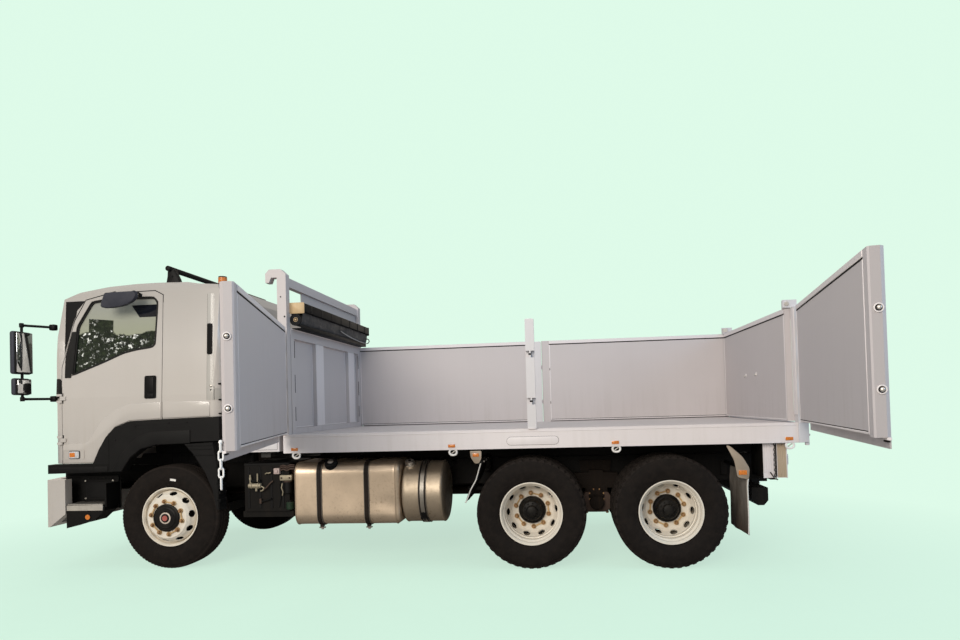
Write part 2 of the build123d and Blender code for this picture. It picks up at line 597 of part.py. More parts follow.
def tray_subrails():
    """Two rails that rest over the chassis rails, with the tipping hinge's bores and the hoist's lugs."""
    rail = slab(TRAY_X0 + 100, 5980, -SUBRAIL_OUT, -SUBRAIL_IN, SUBRAIL_Z0, SUBRAIL_Z1)
    rail += rod_y(TIP_X, TIP_Z, 54, -SUBRAIL_OUT, -SUBRAIL_IN)
    rail -= rod_y(TIP_X, TIP_Z, TIP_PIN_R + 1, -SUBRAIL_OUT - 10, -SUBRAIL_IN + 10)
    beam = slab(EYE_X - 80, EYE_X + 80, -SUBRAIL_IN, SUBRAIL_IN, SUBRAIL_Z1 - 60, SUBRAIL_Z1)
    # hoist lugs either side of the rod's eye, each with a short stub
    lug = prism_y([(4120, SUBRAIL_Z1 - 60), (4280, SUBRAIL_Z1 - 60), (4250, 1040), (4150, 1040)], -82, -62)
    lug += rod_y(EYE_X, EYE_Z, 28, -64, -44)
    return loose(beam, loose_pair(rail, lug))


def hinge_lugs(pin_x, post_x):
    """Pairs of lugs with a short pin between each pair, on the outer corner of a left post."""
    lugs = None
    toward = 1 if post_x > pin_x else -1
    for z in STRAP_Z:
        group = rod_z(pin_x, -GATE_PIN_Y, PIN_R, z - 75, z + 75)
        for z0 in (z - 75, z + 46):
            reach = sorted((pin_x - toward * 16, pin_x + toward * 40))
            group += slab(reach[0], reach[1], -GATE_PIN_Y - 16, -POST_OUT + 6, z0, z0 + 29)
        lugs = group if lugs is None else lugs + group
    return lugs


def headboard():
    x0, x1 = FRONT_POST_X
    post = slab(x0, x1, -POST_OUT, -POST_IN, DECK_Z, 2900)
    hook = prism_y([(x0 - 118, 2845), (x0 - 118, 2935), (x0 - 80, FRONT_POST_TOP), (x1 - 55, FRONT_POST_TOP),
                    (x1, 2925), (x1, 2895), (x0, 2895), (x0 - 60, 2895), (x0 - 80, 2845)], -POST_OUT, -POST_IN)
    wall = slab(x0 + 32, x0 + 57, -POST_IN - 5, POST_IN + 5, DECK_Z, WALL_TOP)
    #        y0,    y1 : upright ribs on the load side
    ribs = [(-POST_IN - 5, -1050), (-470, -230), (640, 880), (1050, POST_IN + 5)]
    for y0, y1 in ribs:
        wall += slab(x0 + 50, x1 + 7, y0, y1, DECK_Z, WALL_TOP)
    wall += slab(x0 + 32, x1 + 7, -POST_IN - 5, POST_IN + 5, WALL_TOP - 90, WALL_TOP)
    wall += slab(x0 + 32, x1 + 7, -POST_IN - 5, POST_IN + 5, DECK_Z, DECK_Z + 60)
    rail = slab(x0 + 15, x1 - 15, -POST_IN - 5, POST_IN + 5, 2815, 2905)
    screen = slab(x0 + 40, x0 + 52, -720, POST_IN + 5, WALL_TOP - 1, 2816)
    lugs = hinge_lugs(FRONT_PIN_X, sum(FRONT_POST_X) / 2)
    return both_sides(post + hook + lugs) + wall + rail + screen


def centre_posts():
    x0, x1 = CENTRE_POST_X
    post = slab(x0, x1, -POST_OUT, -POST_IN - 10, DECK_Z, 2377)
    for z in LATCH_Z:
        for a, b in ((x0 - 1, x0 + 35), (x1 - 35, x1 + 1)):
            post -= slab(a, b, -POST_OUT - 1, -POST_IN - 22, z - 32, z + 32)
    return both_sides(post)


def rear_posts():
    x0, x1 = REAR_POST_X
    post = slab(x0, x1, -POST_OUT, -POST_IN, DECK_Z, REAR_POST_TOP)
    post += slab(x0, x1, -POST_OUT, -POST_IN, SIDE_RAIL_Z0, DECK_Z + 1) - slab(
        TRAY_X0, TRAY_X1, -TRAY_Y, TRAY_Y, SIDE_RAIL_Z0 - 1, DECK_Z)
    lug = slab(6045, 6170, -POST_IN - 20, -POST_IN, REAR_POST_TOP - 1, 2462)
    lug -= rod_y(TAILGATE_X, TAILGATE_Z, 16, -POST_IN - 30, -POST_IN + 10)
    post += lug + hinge_lugs(REAR_PIN_X, sum(REAR_POST_X) / 2)
    return both_sides(post)


def tailgate():
    half = POST_IN - GAP
    gate = slab(TAILGATE_FACE_X, 6118, -half, half, GATE_Z0, WALL_TOP)
    for y in (-560, 0, 560):
        gate += slab(6110, 6150, y - 40, y + 40, GATE_Z0, WALL_TOP)
    gate += slab(6110, 6150, -half, half, WALL_TOP - 90, WALL_TOP)
    gate += slab(6110, 6150, -half, half, GATE_Z0, GATE_Z0 + 90)
    arm = prism_y([(6050, 2380), (6120, 2380), (6112, 2455), (6050, 2455)], -half, -half + 22)
    arm += rod_y(TAILGATE_X, TAILGATE_Z, 15, -POST_IN - 20, -half + 5)
    return gate + both_sides(arm)


def tarp_roll():
    """Rolled tarpaulin and its long box, on the load side of the headboard's top."""
    roll = slab(1312, 1452, -1150 + 28, 1100, 2522, 2645) + rod_y(1362, 2478, 62, -1118, 1096)
    ends = slab(1290, 1455, -POST_IN, -POST_IN + 10, 2400, 2650) + slab(1290, 1455, 1098, 1108, 2400, 2650)
    ends += slab(1290, 1312, 1100, POST_IN, 2480, 2600)
    return roll + ends


def gate(s0, s1):
    """A closed gate about its hinge pin at s = 0, t = 0: skin, end post, skirt, straps and latch studs."""
    leaf = slab(s0, s1 - 90, GATE_T0, GATE_T1, GATE_Z0, WALL_TOP)
    post = [(s1 - 95, GATE_T0), (s1 - 26, GATE_T0), (s1, GATE_T0 + 24), (s1, GATE_T1 - 10), (s1 - 10, GATE_T1),
            (s1 - 95, GATE_T1)]
    leaf += prism_z(post, GATE_Z0 - 12, WALL_TOP)
    skirt = slab(s0, s1 - 26, GATE_T0, GATE_T0 + 9, SKIRT_Z0, GATE_Z0 + 1)
    leaf += skirt
    for z in STRAP_Z:
        leaf += slab(0, 260, -8, GATE_T0 + 1, z - 40, z + 40) - slab(s0, 300, -9, -2, z - 50, z + 50)
        leaf += rod_z(0, 0, 18, z - 40, z + 40)
        leaf -= rod_z(0, 0, PIN_R + 0.5, z - 45, z + 45)
    for z in LATCH_Z:
        leaf += rod_x(55, z, 24, s1 - 5, s1 + 3) + rod_x(55, z, 12, s1, s1 + 20)
    return leaf


def left_gates():
    """The two left gates at rest, swung open about their pins."""
    front = Pos(FRONT_PIN_X, -GATE_PIN_Y, 0) * Rot(0, 0, -FRONT_OPEN) * gate(**FRONT_GATE)
    rear = Pos(REAR_PIN_X, -GATE_PIN_Y, 0) * Rot(0, 0, REAR_OPEN) * mirror(gate(**REAR_GATE), about=Plane.YZ)
    return front, rear


def right_gates():
    front = Pos(FRONT_PIN_X, GATE_PIN_Y, 0) * other_side(gate(**FRONT_GATE))
    rear = Pos(REAR_PIN_X, GATE_PIN_Y, 0) * other_side(mirror(gate(**REAR_GATE), about=Plane.YZ))
    return front, rear


# ---- hoist ----
def hoist_line():
    """Closed length in mm and slope in degrees of the hoist at rest."""
    dx, dz = EYE_X - HOIST_X, EYE_Z - HOIST_Z
    return math.hypot(dx, dz), math.degrees(math.atan2(dz, dx))


def hoist():
    """Barrel and rod along +X from the barrel's pivot, then turned to the line of the closed hoist."""
    length, slope = hoist_line()
    tube = rod_x(0, 0, 85, 90, 1440) - rod_x(0, 0, 66, 130, 1430) - rod_x(0, 0, 56, 1400, 1450)
    tube += rod_y(0, 0, 70, -105, 105) + slab(0, 110, -60, 60, -50, 50)
    tube -= rod_y(0, 0, HOIST_PIN_R + 1, -120, 120)
    rod = rod_x(0, 0, 55, 240, length - 45) + rod_x(0, 0, 65, 240, 290)
    rod += rod_y(length, 0, 60, -38, 38)
    rod -= rod_y(length, 0, 31, -50, 50)
    place = Pos(HOIST_X, 0, HOIST_Z) * Rot(0, -slope, 0)
    return place * tube, place * rod


# ---- all nodes ----
def all_nodes():
    nodes = {}
    nodes["chassis_frame"] = chassis_frame()
    nodes["front_bumper"] = front_bumper()
    nodes["cab_steps"] = cab_steps()
    nodes["front_axle"] = front_axle()
    nodes["drive_axles"] = drive_axles()
    nodes["rear_suspension"] = rear_suspension()
    nodes["engine_block"] = engine_block()
    nodes["driveline"] = driveline()
    nodes["fuel_tank"] = fuel_tank()
    nodes["oil_tank"] = oil_tank()
    nodes["battery_box"] = battery_box()
    nodes["exhaust"] = exhaust()
    nodes["wheel_guards"] = wheel_guards()
    nodes["mudflaps"] = mudflaps()
    nodes["rear_bar"], nodes["under_guard"] = rear_bar()
    nodes["lamp_boxes"] = lamp_boxes()
    nodes["front_lockers"] = front_lockers()

    shell, leaf, pane, fixed = cab_pieces()
    nodes["cab_shell"] = shell
    nodes["cab_glass"] = fixed
    nodes["cab_underbody"] = cab_underbody()
    nodes["cab_interior"] = cab_interior()
    nodes["cab_front"] = cab_front()
    nodes["roof_bar"] = roof_bar()
    nodes["mirrors"] = mirrors()
    for side, turn in (("left", lambda s: s), ("right", other_side)):
        nodes["door_" + side] = turn(leaf)
        nodes["door_glass_" + side] = turn(pane)
        nodes["knuckle_" + side] = turn(knuckle())
        nodes["tyre_front_" + side] = turn(Pos(0, -FRONT_TYRE_Y, AXLE_Z) * tyre())
        nodes["wheel_front_" + side] = turn(Pos(0, -FRONT_TYRE_Y, AXLE_Z) * Rot(0, 10.5, 0) * front_wheel())
        for name, x in zip(("mid", "rear"), REAR_AXLES_X):
            nodes[f"tyres_{name}_{side}"] = turn(Pos(x, -TWIN_FACE_Y, AXLE_Z) * twin_tyres())
            nodes[f"wheels_{name}_{side}"] = turn(Pos(x, -TWIN_FACE_Y, AXLE_Z) * Rot(0, TWIN_TURN[name], 0) * twin_wheel())

    nodes["kerb_mirror"] = kerb_mirror()

    nodes["tray_deck"] = tray_deck()
    nodes["tray_floor"] = tray_floor()
    nodes["tray_crossmembers"] = tray_crossmembers()
    nodes["tray_subrails"] = tray_subrails()
    nodes["headboard"] = headboard()
    nodes["centre_posts"] = centre_posts()
    nodes["rear_posts"] = rear_posts()
    nodes["tarp_roll"] = tarp_roll()
    nodes["tailgate"] = tailgate()
    nodes["gate_front_left"], nodes["gate_rear_left"] = left_gates()
    nodes["gate_front_right"], nodes["gate_rear_right"] = right_gates()
    nodes["hoist_barrel"], nodes["hoist_rod"] = hoist()
    return nodes


def main():
    os.makedirs("parts", exist_ok=True)
    shift = Pos(*[-value for value in ORIGIN])
    for name, shape in all_nodes().items():
        export_step(shift * shape, f"parts/{name}.step")


if __name__ == "__main__":
    main()
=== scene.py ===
"""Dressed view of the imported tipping-tray truck: finishes, tyres, wheel trim, lamps, chains and small fittings.

Pieces are written in the truck's own millimetres (x rearwards from the front axle, y to the right of the centreline,
z from the ground) and are moved into the frame's metres when each piece is finished. In the calls, m is the number
of the piece's material.
"""

import bpy
import bmesh
import math
from mathutils import Matrix, Vector


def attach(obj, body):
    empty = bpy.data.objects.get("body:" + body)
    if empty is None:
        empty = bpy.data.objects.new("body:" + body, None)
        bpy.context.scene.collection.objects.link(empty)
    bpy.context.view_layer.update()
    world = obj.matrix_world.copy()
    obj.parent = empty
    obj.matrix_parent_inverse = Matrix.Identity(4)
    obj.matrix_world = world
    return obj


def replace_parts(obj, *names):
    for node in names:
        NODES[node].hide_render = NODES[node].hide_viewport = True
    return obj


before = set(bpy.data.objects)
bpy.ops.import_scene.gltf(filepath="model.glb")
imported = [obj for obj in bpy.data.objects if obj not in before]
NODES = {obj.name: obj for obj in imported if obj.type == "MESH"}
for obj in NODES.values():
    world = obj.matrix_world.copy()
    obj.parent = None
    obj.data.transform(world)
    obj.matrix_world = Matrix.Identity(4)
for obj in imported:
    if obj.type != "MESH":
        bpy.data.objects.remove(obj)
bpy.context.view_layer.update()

ORIGIN = Vector((2399.5, -1089.7, 0.0))
TO_FRAME = Matrix.Scale(0.001, 4) @ Matrix.Translation(-ORIGIN)
LEFT, RIGHT = -1, 1
AXLE_Z = 525.0
REAR_AXLES = {"mid": 3669.0, "rear": 4969.0}
DISC_OFFSET = 165.0
FRONT_TYRE_Y, TWIN_FACE_Y = 1030.0, 920.0


# ---------------------------------------------------------------- materials
class Shader:
    """A material's node tree, with short calls for the few nodes that every finish uses."""

    def __init__(self, name, color=(0.8, 0.8, 0.8), rough=0.5, metal=0.0):
        self.material = bpy.data.materials.new(name)
        self.material.use_nodes = True
        self.tree = self.material.node_tree
        self.shader = self.tree.nodes["Principled BSDF"]
        self.set("Base Color", (*color, 1.0))
        self.set("Roughness", rough)
        self.set("Metallic", metal)
        self.where = self.node("ShaderNodeTexCoord").outputs["Object"]

    def node(self, kind, **values):
        made = self.tree.nodes.new(kind)
        for key, value in values.items():
            setattr(made, key, value)
        return made

    def set(self, socket, value):
        self.shader.inputs[socket].default_value = value

    def link(self, a, b):
        self.tree.links.new(a, b)

    def feed(self, socket, value):
        """Links an output or writes a number."""
        if isinstance(value, (int, float)):
            socket.default_value = value
        else:
            self.link(value, socket)

    def math(self, op, a, b=0.0):
        made = self.node("ShaderNodeMath", operation=op)
        self.feed(made.inputs[0], a)
        self.feed(made.inputs[1], b)
        return made.outputs[0]

    def times(self, a, b):
        return self.math("MULTIPLY", a, b)

    def plus(self, a, b):
        return self.math("ADD", a, b)

    def length(self, a, b):
        return self.math("SQRT", self.plus(self.times(a, a), self.times(b, b)))

    def axes(self, vector=None):
        made = self.node("ShaderNodeSeparateXYZ")
        self.link(vector or self.where, made.inputs[0])
        return made.outputs

    def normal_axes(self):
        return self.axes(self.node("ShaderNodeTexCoord").outputs["Normal"])

    def stretch(self, *scale):
        made = self.node("ShaderNodeMapping")
        made.inputs["Scale"].default_value = scale
        self.link(self.where, made.inputs["Vector"])
        return made.outputs[0]

    def noise(self, scale, detail=4.0, rough=0.55, vector=None):
        made = self.node("ShaderNodeTexNoise")
        made.inputs["Scale"].default_value = scale
        made.inputs["Detail"].default_value = detail
        made.inputs["Roughness"].default_value = rough
        self.link(vector or self.where, made.inputs["Vector"])
        return made.outputs[0]

    def cells(self, scale):
        made = self.node("ShaderNodeTexVoronoi")
        made.inputs["Scale"].default_value = scale
        self.link(self.where, made.inputs["Vector"])
        return made.outputs["Distance"]

    def span(self, value, low, high, out_low=0.0, out_high=1.0):
        made = self.node("ShaderNodeMapRange")
        self.feed(made.inputs["Value"], value)
        for socket, number in zip(("From Min", "From Max", "To Min", "To Max"), (low, high, out_low, out_high)):
            made.inputs[socket].default_value = number
        return made.outputs[0]

    def mix(self, factor, a, b):
        """Blends two colours (input sockets 6 and 7); each is a tuple or an output."""
        made = self.node("ShaderNodeMix", data_type="RGBA")
        self.feed(made.inputs["Factor"], factor)
        for index, value in ((6, a), (7, b)):
            if isinstance(value, tuple):
                made.inputs[index].default_value = (*value, 1.0)
            else:
                self.link(value, made.inputs[index])
        return made.outputs[2]

    def paint(self, color):
        self.link(color, self.shader.inputs["Base Color"])

    def roughness(self, value):
        self.link(value, self.shader.inputs["Roughness"])

    def bump(self, height, strength, distance):
        made = self.node("ShaderNodeBump")
        made.inputs["Strength"].default_value = strength
        made.inputs["Distance"].default_value = distance
        self.link(height, made.inputs["Height"])
        old = self.shader.inputs["Normal"].links
        if old:
            self.link(old[0].from_socket, made.inputs["Normal"])
        self.link(made.outputs[0], self.shader.inputs["Normal"])


def weathered(name, color, rough, dirt, amount, coat=0.0, low=0.9, high=2.4, grain=0.0006, fade=0.022, gloss=0.5,
              shade=None, edge=None, below=None):
    """Paint with slight fading, faint streaks that run down, and road film that thickens towards the ground.

    The film fades out between the heights low and high, in metres. shade is (height, height, share): painted shade,
    darker towards the top. edge is a share of the colour for the faces that look out to the left, as painted shade.
    Below the height below the paint ends.
    """
    s = Shader(name, color, rough)
    s.set("Specular IOR Level", gloss)
    s.set("Coat Weight", coat)
    s.set("Coat Roughness", 0.1)
    patches = s.noise(1.1, 4.0, 0.5)
    streaks = s.noise(1.0, 3.0, 0.55, s.stretch(16.0, 16.0, 0.9))
    specks = s.noise(70.0, 4.0, 0.6)
    height = s.span(s.axes()[2], low, high, 1.0, 0.0)
    film = s.times(s.span(streaks, 0.5, 0.85), s.plus(height, 0.12))
    film = s.times(s.plus(film, s.times(s.span(specks, 0.56, 0.78), height)), amount)
    base = s.mix(s.span(patches, 0.35, 0.7), tuple(c * (1 - fade) for c in color),
                 tuple(min(1.0, c * (1 + fade)) for c in color))
    if shade:
        # painted shade: the colour darkens towards the top
        base = s.mix(s.span(s.axes()[2], shade[0], shade[1]), base, tuple(c * shade[2] for c in color))
    if edge:
        # painted shade: the faces that look out to the left are darker
        base = s.mix(s.span(s.normal_axes()[1], -0.8, -0.95), base, tuple(c * edge for c in color))
    if below:
        base = s.mix(s.math("LESS_THAN", s.axes()[2], below), base, (0.006, 0.0055, 0.005))
    s.paint(s.mix(s.math("MINIMUM", film, 0.8), base, dirt))
    s.roughness(s.plus(s.span(patches, 0.3, 0.7, rough - 0.03, rough + 0.05), s.times(film, 0.3)))
    s.bump(s.noise(260.0, 2.0), 0.18, grain)
    s.bump(s.noise(2.6, 2.0), 0.08, 0.004)
    return s.material


def moulded(name, color, rough=0.5, dirt=(0.11, 0.105, 0.1), amount=0.2, grain=420.0):
    """Grained plastic, dusty in patches and on its upward faces."""
    s = Shader(name, color, rough)
    s.set("Specular IOR Level", 0.14)
    dust = s.times(s.span(s.noise(6.0, 6.0, 0.65), 0.45, 0.8), amount)
    up = s.span(s.normal_axes()[2], 0.2, 0.9, 0.0, 0.45 * amount)
    s.paint(s.mix(s.plus(dust, up), color, dirt))
    s.roughness(s.span(dust, 0.0, 0.5, rough, min(1.0, rough + 0.3)))
    s.bump(s.cells(grain), 0.25, 0.0006)
    return s.material


def plain_metal(name, color, rough, metal=1.0, scratch=0.3, tint=None):
    s = Shader(name, color, rough, metal)
    marks = s.noise(1.0, 6.0, 0.7, s.stretch(30.0, 30.0, 220.0))
    stains = s.noise(7.0, 6.0, 0.6)
    s.paint(s.mix(s.span(stains, 0.4, 0.75), color, tint or tuple(c * 0.72 for c in color)))
    s.roughness(s.span(marks, 0.3, 0.7, rough - 0.06, rough + 0.16))
    s.bump(marks, scratch, 0.0006)
    return s.material


# ---------------------------------------------------------------- geometry
def placed(x, y, z, degrees=0.0, axis="Y"):
    """A matrix that turns about an axis and then moves to (x, y, z)."""
    return Matrix.Translation((x, y, z)) @ Matrix.Rotation(math.radians(degrees), 4, axis)


def aimed(start, way):
    """A matrix that points +Z along way and then moves to start."""
    return Matrix.Translation(start) @ way.to_track_quat("Z", "Y").to_matrix().to_4x4()


def about_y(x, y, z, side):
    """A matrix that points +Z outboard and then moves to one side of the truck."""
    return placed(x, side * y, z, -90 * side, "X")


def around(steps, r=1.0):
    """Points (r cos, r sin) round a circle."""
    turns = [2 * math.pi * i / steps for i in range(steps)]
    return [(r * math.cos(a), r * math.sin(a)) for a in turns]


def on_axis(axis, u, v, w):
    """The point at w along an axis and at u, v along the two others, in x, y, z order."""
    return {"x": (w, u, v), "y": (u, w, v), "z": (u, v, w)}[axis]


def carry(bm, place):
    """Moves a mesh by a matrix; its faces still look out where the matrix mirrors."""
    bmesh.ops.transform(bm, matrix=place, verts=bm.verts)
    if place.determinant() < 0:
        bmesh.ops.reverse_faces(bm, faces=bm.faces)


def span_rows(b, rows, flip=False):
    """Faces between neighbouring rows of vertices."""
    for a, c in zip(rows, rows[1:]):
        for k in range(len(a) - 1):
            quad = (a[k], a[k + 1], c[k + 1], c[k])
            b.faces.new(quad[::-1] if flip else quad)


def span_loops(b, loops):
    """Faces between neighbouring closed loops of vertices."""
    for a, c in zip(loops, loops[1:]):
        for i in range(len(a)):
            j = (i + 1) % len(a)
            b.faces.new((a[i], a[j], c[j], c[i]))


class Piece:
    """Collects geometry in truck millimetres, then becomes one object that rides on a body.

    side multiplies the y that box, rod, tube, bolt, prism, on_side and wrap are given: LEFT mirrors them.
    """

    def __init__(self, name, body, slot, *materials, side=RIGHT):
        self.name, self.body, self.slot, self.materials, self.side = name, body, slot, materials, side
        self.bm = bmesh.new()

    def sided(self, point):
        return Vector((point[0], self.side * point[1], point[2]))

    def absorb(self, other, m=0, place=None):
        if place is not None:
            carry(other, place)
        for face in other.faces:
            face.material_index = m
        mesh = bpy.data.meshes.new("part")
        other.to_mesh(mesh)
        other.free()
        self.bm.from_mesh(mesh)
        bpy.data.meshes.remove(mesh)

    def close(self, other, m=0, place=None):
        """Turns every face of a mesh outwards and absorbs it."""
        bmesh.ops.recalc_face_normals(other, faces=other.faces)
        self.absorb(other, m, place)

    def box(self, x0, x1, y0, y1, z0, z1, m=0, bevel=2.0, place=None, rounds=1):
        b = bmesh.new()
        bmesh.ops.create_cube(b, size=1.0)
        size = Vector((abs(x1 - x0), abs(y1 - y0), abs(z1 - z0)))
        middle = self.sided(((x0 + x1) / 2, (y0 + y1) / 2, (z0 + z1) / 2))
        carry(b, placed(*middle) @ Matrix.Diagonal((*size, 1.0)))
        if bevel:
            bmesh.ops.bevel(b, geom=b.edges[:], offset=min(bevel, 0.4 * min(size)), segments=rounds, profile=0.5,
                            affect="EDGES")
        self.absorb(b, m, place)

    def lathe(self, profile, m=0, segments=48, place=None, closed=False, caps=True):
        """Turns (radius, height) about Z."""
        b = bmesh.new()
        rings = []
        for r, h in profile:
            rings.append([b.verts.new((u, v, h)) for u, v in (around(segments, r) if r > 1e-6 else [(0, 0)])])
        for lower, upper in zip(rings, rings[1:] + rings[:closed]):
            for i in range(segments):
                j = (i + 1) % segments
                if len(lower) == 1 and len(upper) == 1:
                    continue
                if len(lower) == 1:
                    b.faces.new((lower[0], upper[j], upper[i]))
                elif len(upper) == 1:
                    b.faces.new((lower[i], lower[j], upper[0]))
                else:
                    b.faces.new((lower[i], lower[j], upper[j], upper[i]))
        if caps and not closed:
            if len(rings[0]) > 1:
                b.faces.new(list(reversed(rings[0])))
            if len(rings[-1]) > 1:
                b.faces.new(rings[-1])
        self.close(b, m, place)

    def rod(self, start, end, r, m=0, segments=20, edge=0.0):
        """A round bar from start to end; edge is the chamfer of its rims."""
        start, end = self.sided(start), self.sided(end)
        length = (end - start).length
        profile = [(r, 0.0), (r, length)]
        if edge:
            profile = [(r - edge, 0.0), (r, edge), (r, length - edge), (r - edge, length)]
        self.lathe(profile, m, segments, aimed(start, end - start))

    def prism(self, outline, axis, low, high, m=0, bevel=0.0):
        """An outline in the two other axes (in x, y, z order) carried along one axis."""
        b = bmesh.new()
        first, last = ([b.verts.new(self.sided(on_axis(axis, u, v, w))) for u, v in outline] for w in (low, high))
        b.faces.new(first)
        b.faces.new(list(reversed(last)))
        span_loops(b, [first, last])
        bmesh.ops.recalc_face_normals(b, faces=b.faces)
        if bevel:
            bmesh.ops.bevel(b, geom=b.edges[:], offset=bevel, segments=1, profile=0.5, affect="EDGES")
        self.absorb(b, m)

    def tube(self, points, r, m=0, segments=10, closed=False):
        """A round bar along points."""
        b = bmesh.new()
        points = [self.sided(p) for p in points]
        count = len(points)
        rings = []
        up = None
        for i, p in enumerate(points):
            ahead = points[(i + 1) % count] if closed or i < count - 1 else p
            behind = points[i - 1] if closed or i > 0 else p
            along = (ahead - behind).normalized()
            if up is None:
                up = along.orthogonal().normalized()
            up = (up - along * up.dot(along)).normalized()
            across = along.cross(up)
            rings.append([b.verts.new(p + r * (u * up + v * across)) for u, v in around(segments)])
        for i in range(count if closed else count - 1):
            a, c = rings[i], rings[(i + 1) % count]
            shift = 0
            if closed and i == count - 1:
                shift = min(range(segments), key=lambda q: (a[0].co - c[q].co).length)
            for k in range(segments):
                l = (k + 1) % segments
                b.faces.new((a[k], a[l], c[(l + shift) % segments], c[(k + shift) % segments]))
        if not closed:
            b.faces.new(list(reversed(rings[0])))
            b.faces.new(rings[-1])
        self.close(b, m)

    def link(self, centre, along, across, length, width, r, m=0):
        """One chain link: a stadium loop lying in the plane of along and across."""
        centre, along, across = Vector(centre), Vector(along).normalized(), Vector(across).normalized()
        bend, run = width / 2 - r, length / 2 - width / 2
        points = []
        for turn, sign in ((0, 1), (math.pi, -1)):
            for i in range(9):
                a = turn - math.pi / 2 + math.pi * i / 8
                points.append(centre + along * (bend * math.cos(a) + sign * run) + across * bend * math.sin(a))
        self.tube(points, r, m, 8, closed=True)

    def bolt(self, at, out, size=18.0, m=0, washer=True):
        """A hexagon head with its washer; size is across the flats."""
        place = aimed(self.sided(at), self.sided(out))
        r = size / 1.732
        if washer:
            self.lathe([(size * 0.8, 0.0), (size * 0.8, size * 0.12), (size * 0.5, size * 0.14)], m, 20, place)
        self.lathe([(r, 0.0), (r, size * 0.5), (r * 0.86, size * 0.62), (0, size * 0.62)], m, 6, place)

    def finish(self, sharp=35.0, place=None):
        bm = self.bm
        if place is not None:
            carry(bm, place)
        carry(bm, TO_FRAME)
        for face in bm.faces:
            face.smooth = True
        limit = math.radians(sharp)
        for edge in bm.edges:
            edge.smooth = len(edge.link_faces) == 2 and edge.calc_face_angle(0.0) < limit
        mesh = bpy.data.meshes.new(self.name)
        bm.to_mesh(mesh)
        bm.free()
        made = bpy.data.objects.new(self.name, mesh)
        bpy.context.scene.collection.objects.link(made)
        for material in self.materials:
            mesh.materials.append(material)
        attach(made, self.body)
        return made


GATES = {
    ("front", LEFT): placed(1205, -1240, 0, -74.0, "Z"),
    ("rear", LEFT): placed(6221, -1240, 0, 79.6, "Z") @ Matrix.Diagonal((-1, 1, 1, 1)),
    ("front", RIGHT): placed(1205, 1240, 0) @ Matrix.Diagonal((1, -1, 1, 1)),
    ("rear", RIGHT): placed(6221, 1240, 0) @ Matrix.Diagonal((-1, -1, 1, 1)),
}
GATE_END = {"front": 2448.0, "rear": 2468.0}
GATE_START = {"front": 107.0, "rear": 104.0}
SIDE_NAME = {LEFT: "left", RIGHT: "right"}

# ---------------------------------------------------------------- finishes
body_paint = weathered("body_paint", (0.77, 0.72, 0.725), 0.42, (0.40, 0.34, 0.28), 0.25, low=0.8, high=1.5)
panel_paint = weathered("panel_paint", (0.57, 0.525, 0.525), 0.5, (0.36, 0.32, 0.29), 0.3, low=1.2, high=1.8)
# the cab's paint is darker towards the top of the cab, a painted shade
cab_paint = weathered("cab_paint", (0.523, 0.49, 0.46), 0.2, (0.36, 0.29, 0.22), 0.3, coat=0.7, low=0.9, high=1.7,
                      shade=(2.25, 2.95, 0.8))
post_paint = weathered("post_paint", (0.66, 0.64, 0.655), 0.42, (0.40, 0.34, 0.28), 0.25, low=0.8, high=1.5)
# paint of the open left gates: their faces that look out to the left are darker, a painted shade
gate_paint_shaded_left_faces = weathered("gate_paint_shaded_left_faces", (0.57, 0.53, 0.54), 0.5, (0.36, 0.32, 0.29), 0.3, low=1.2, high=1.8,
                           edge=0.76)
chassis_paint = weathered("chassis_paint", (0.0058, 0.0052, 0.0048), 0.55, (0.03, 0.022, 0.016), 0.45, low=0.2,
                          high=1.3, fade=0.15, gloss=0.12)
casting = weathered("casting", (0.012, 0.0085, 0.0065), 0.7, (0.05, 0.031, 0.02), 0.7, low=0.3, high=1.2, grain=0.003,
                    fade=0.2, gloss=0.12)
black_plastic = moulded("black_plastic", (0.0048, 0.0048, 0.0052), 0.5, (0.022, 0.0215, 0.021), 0.2)
step_plastic = moulded("step_plastic", (0.0035, 0.0035, 0.0036), 0.55, (0.014, 0.013, 0.012), 0.3)
interior_grey = moulded("interior_grey", (0.03, 0.03, 0.031), 0.7, (0.07, 0.068, 0.065), 0.2)
flap_rubber = moulded("flap_rubber", (0.012, 0.011, 0.01), 0.75, (0.06, 0.052, 0.044), 0.6, 160.0)
bright_bolt = plain_metal("bright_bolt", (0.62, 0.6, 0.57), 0.35)
rusty_bolt = plain_metal("rusty_bolt", (0.42, 0.26, 0.13), 0.5, 0.7, tint=(0.22, 0.1, 0.045))
tank_metal = plain_metal("tank_metal", (0.72, 0.63, 0.5), 0.34, 0.85, 0.2, (0.42, 0.35, 0.26))
tread_metal = plain_metal("tread_metal", (0.68, 0.66, 0.62), 0.32, 0.9)
ram_steel = plain_metal("ram_steel", (0.62, 0.62, 0.62), 0.18)


def lamp(name, color):
    s = Shader(name, color, 0.12)
    s.set("Coat Weight", 0.7)
    s.bump(s.cells(240.0), 0.3, 0.001)
    s.paint(s.mix(s.span(s.cells(160.0), 0.2, 0.7), color, tuple(c * 0.6 for c in color)))
    return s.material


amber = lamp("amber_lens", (0.85, 0.24, 0.02))
red_lens = lamp("red_lens", (0.5, 0.015, 0.012))
clear_lens = lamp("clear_lens", (0.75, 0.76, 0.78))


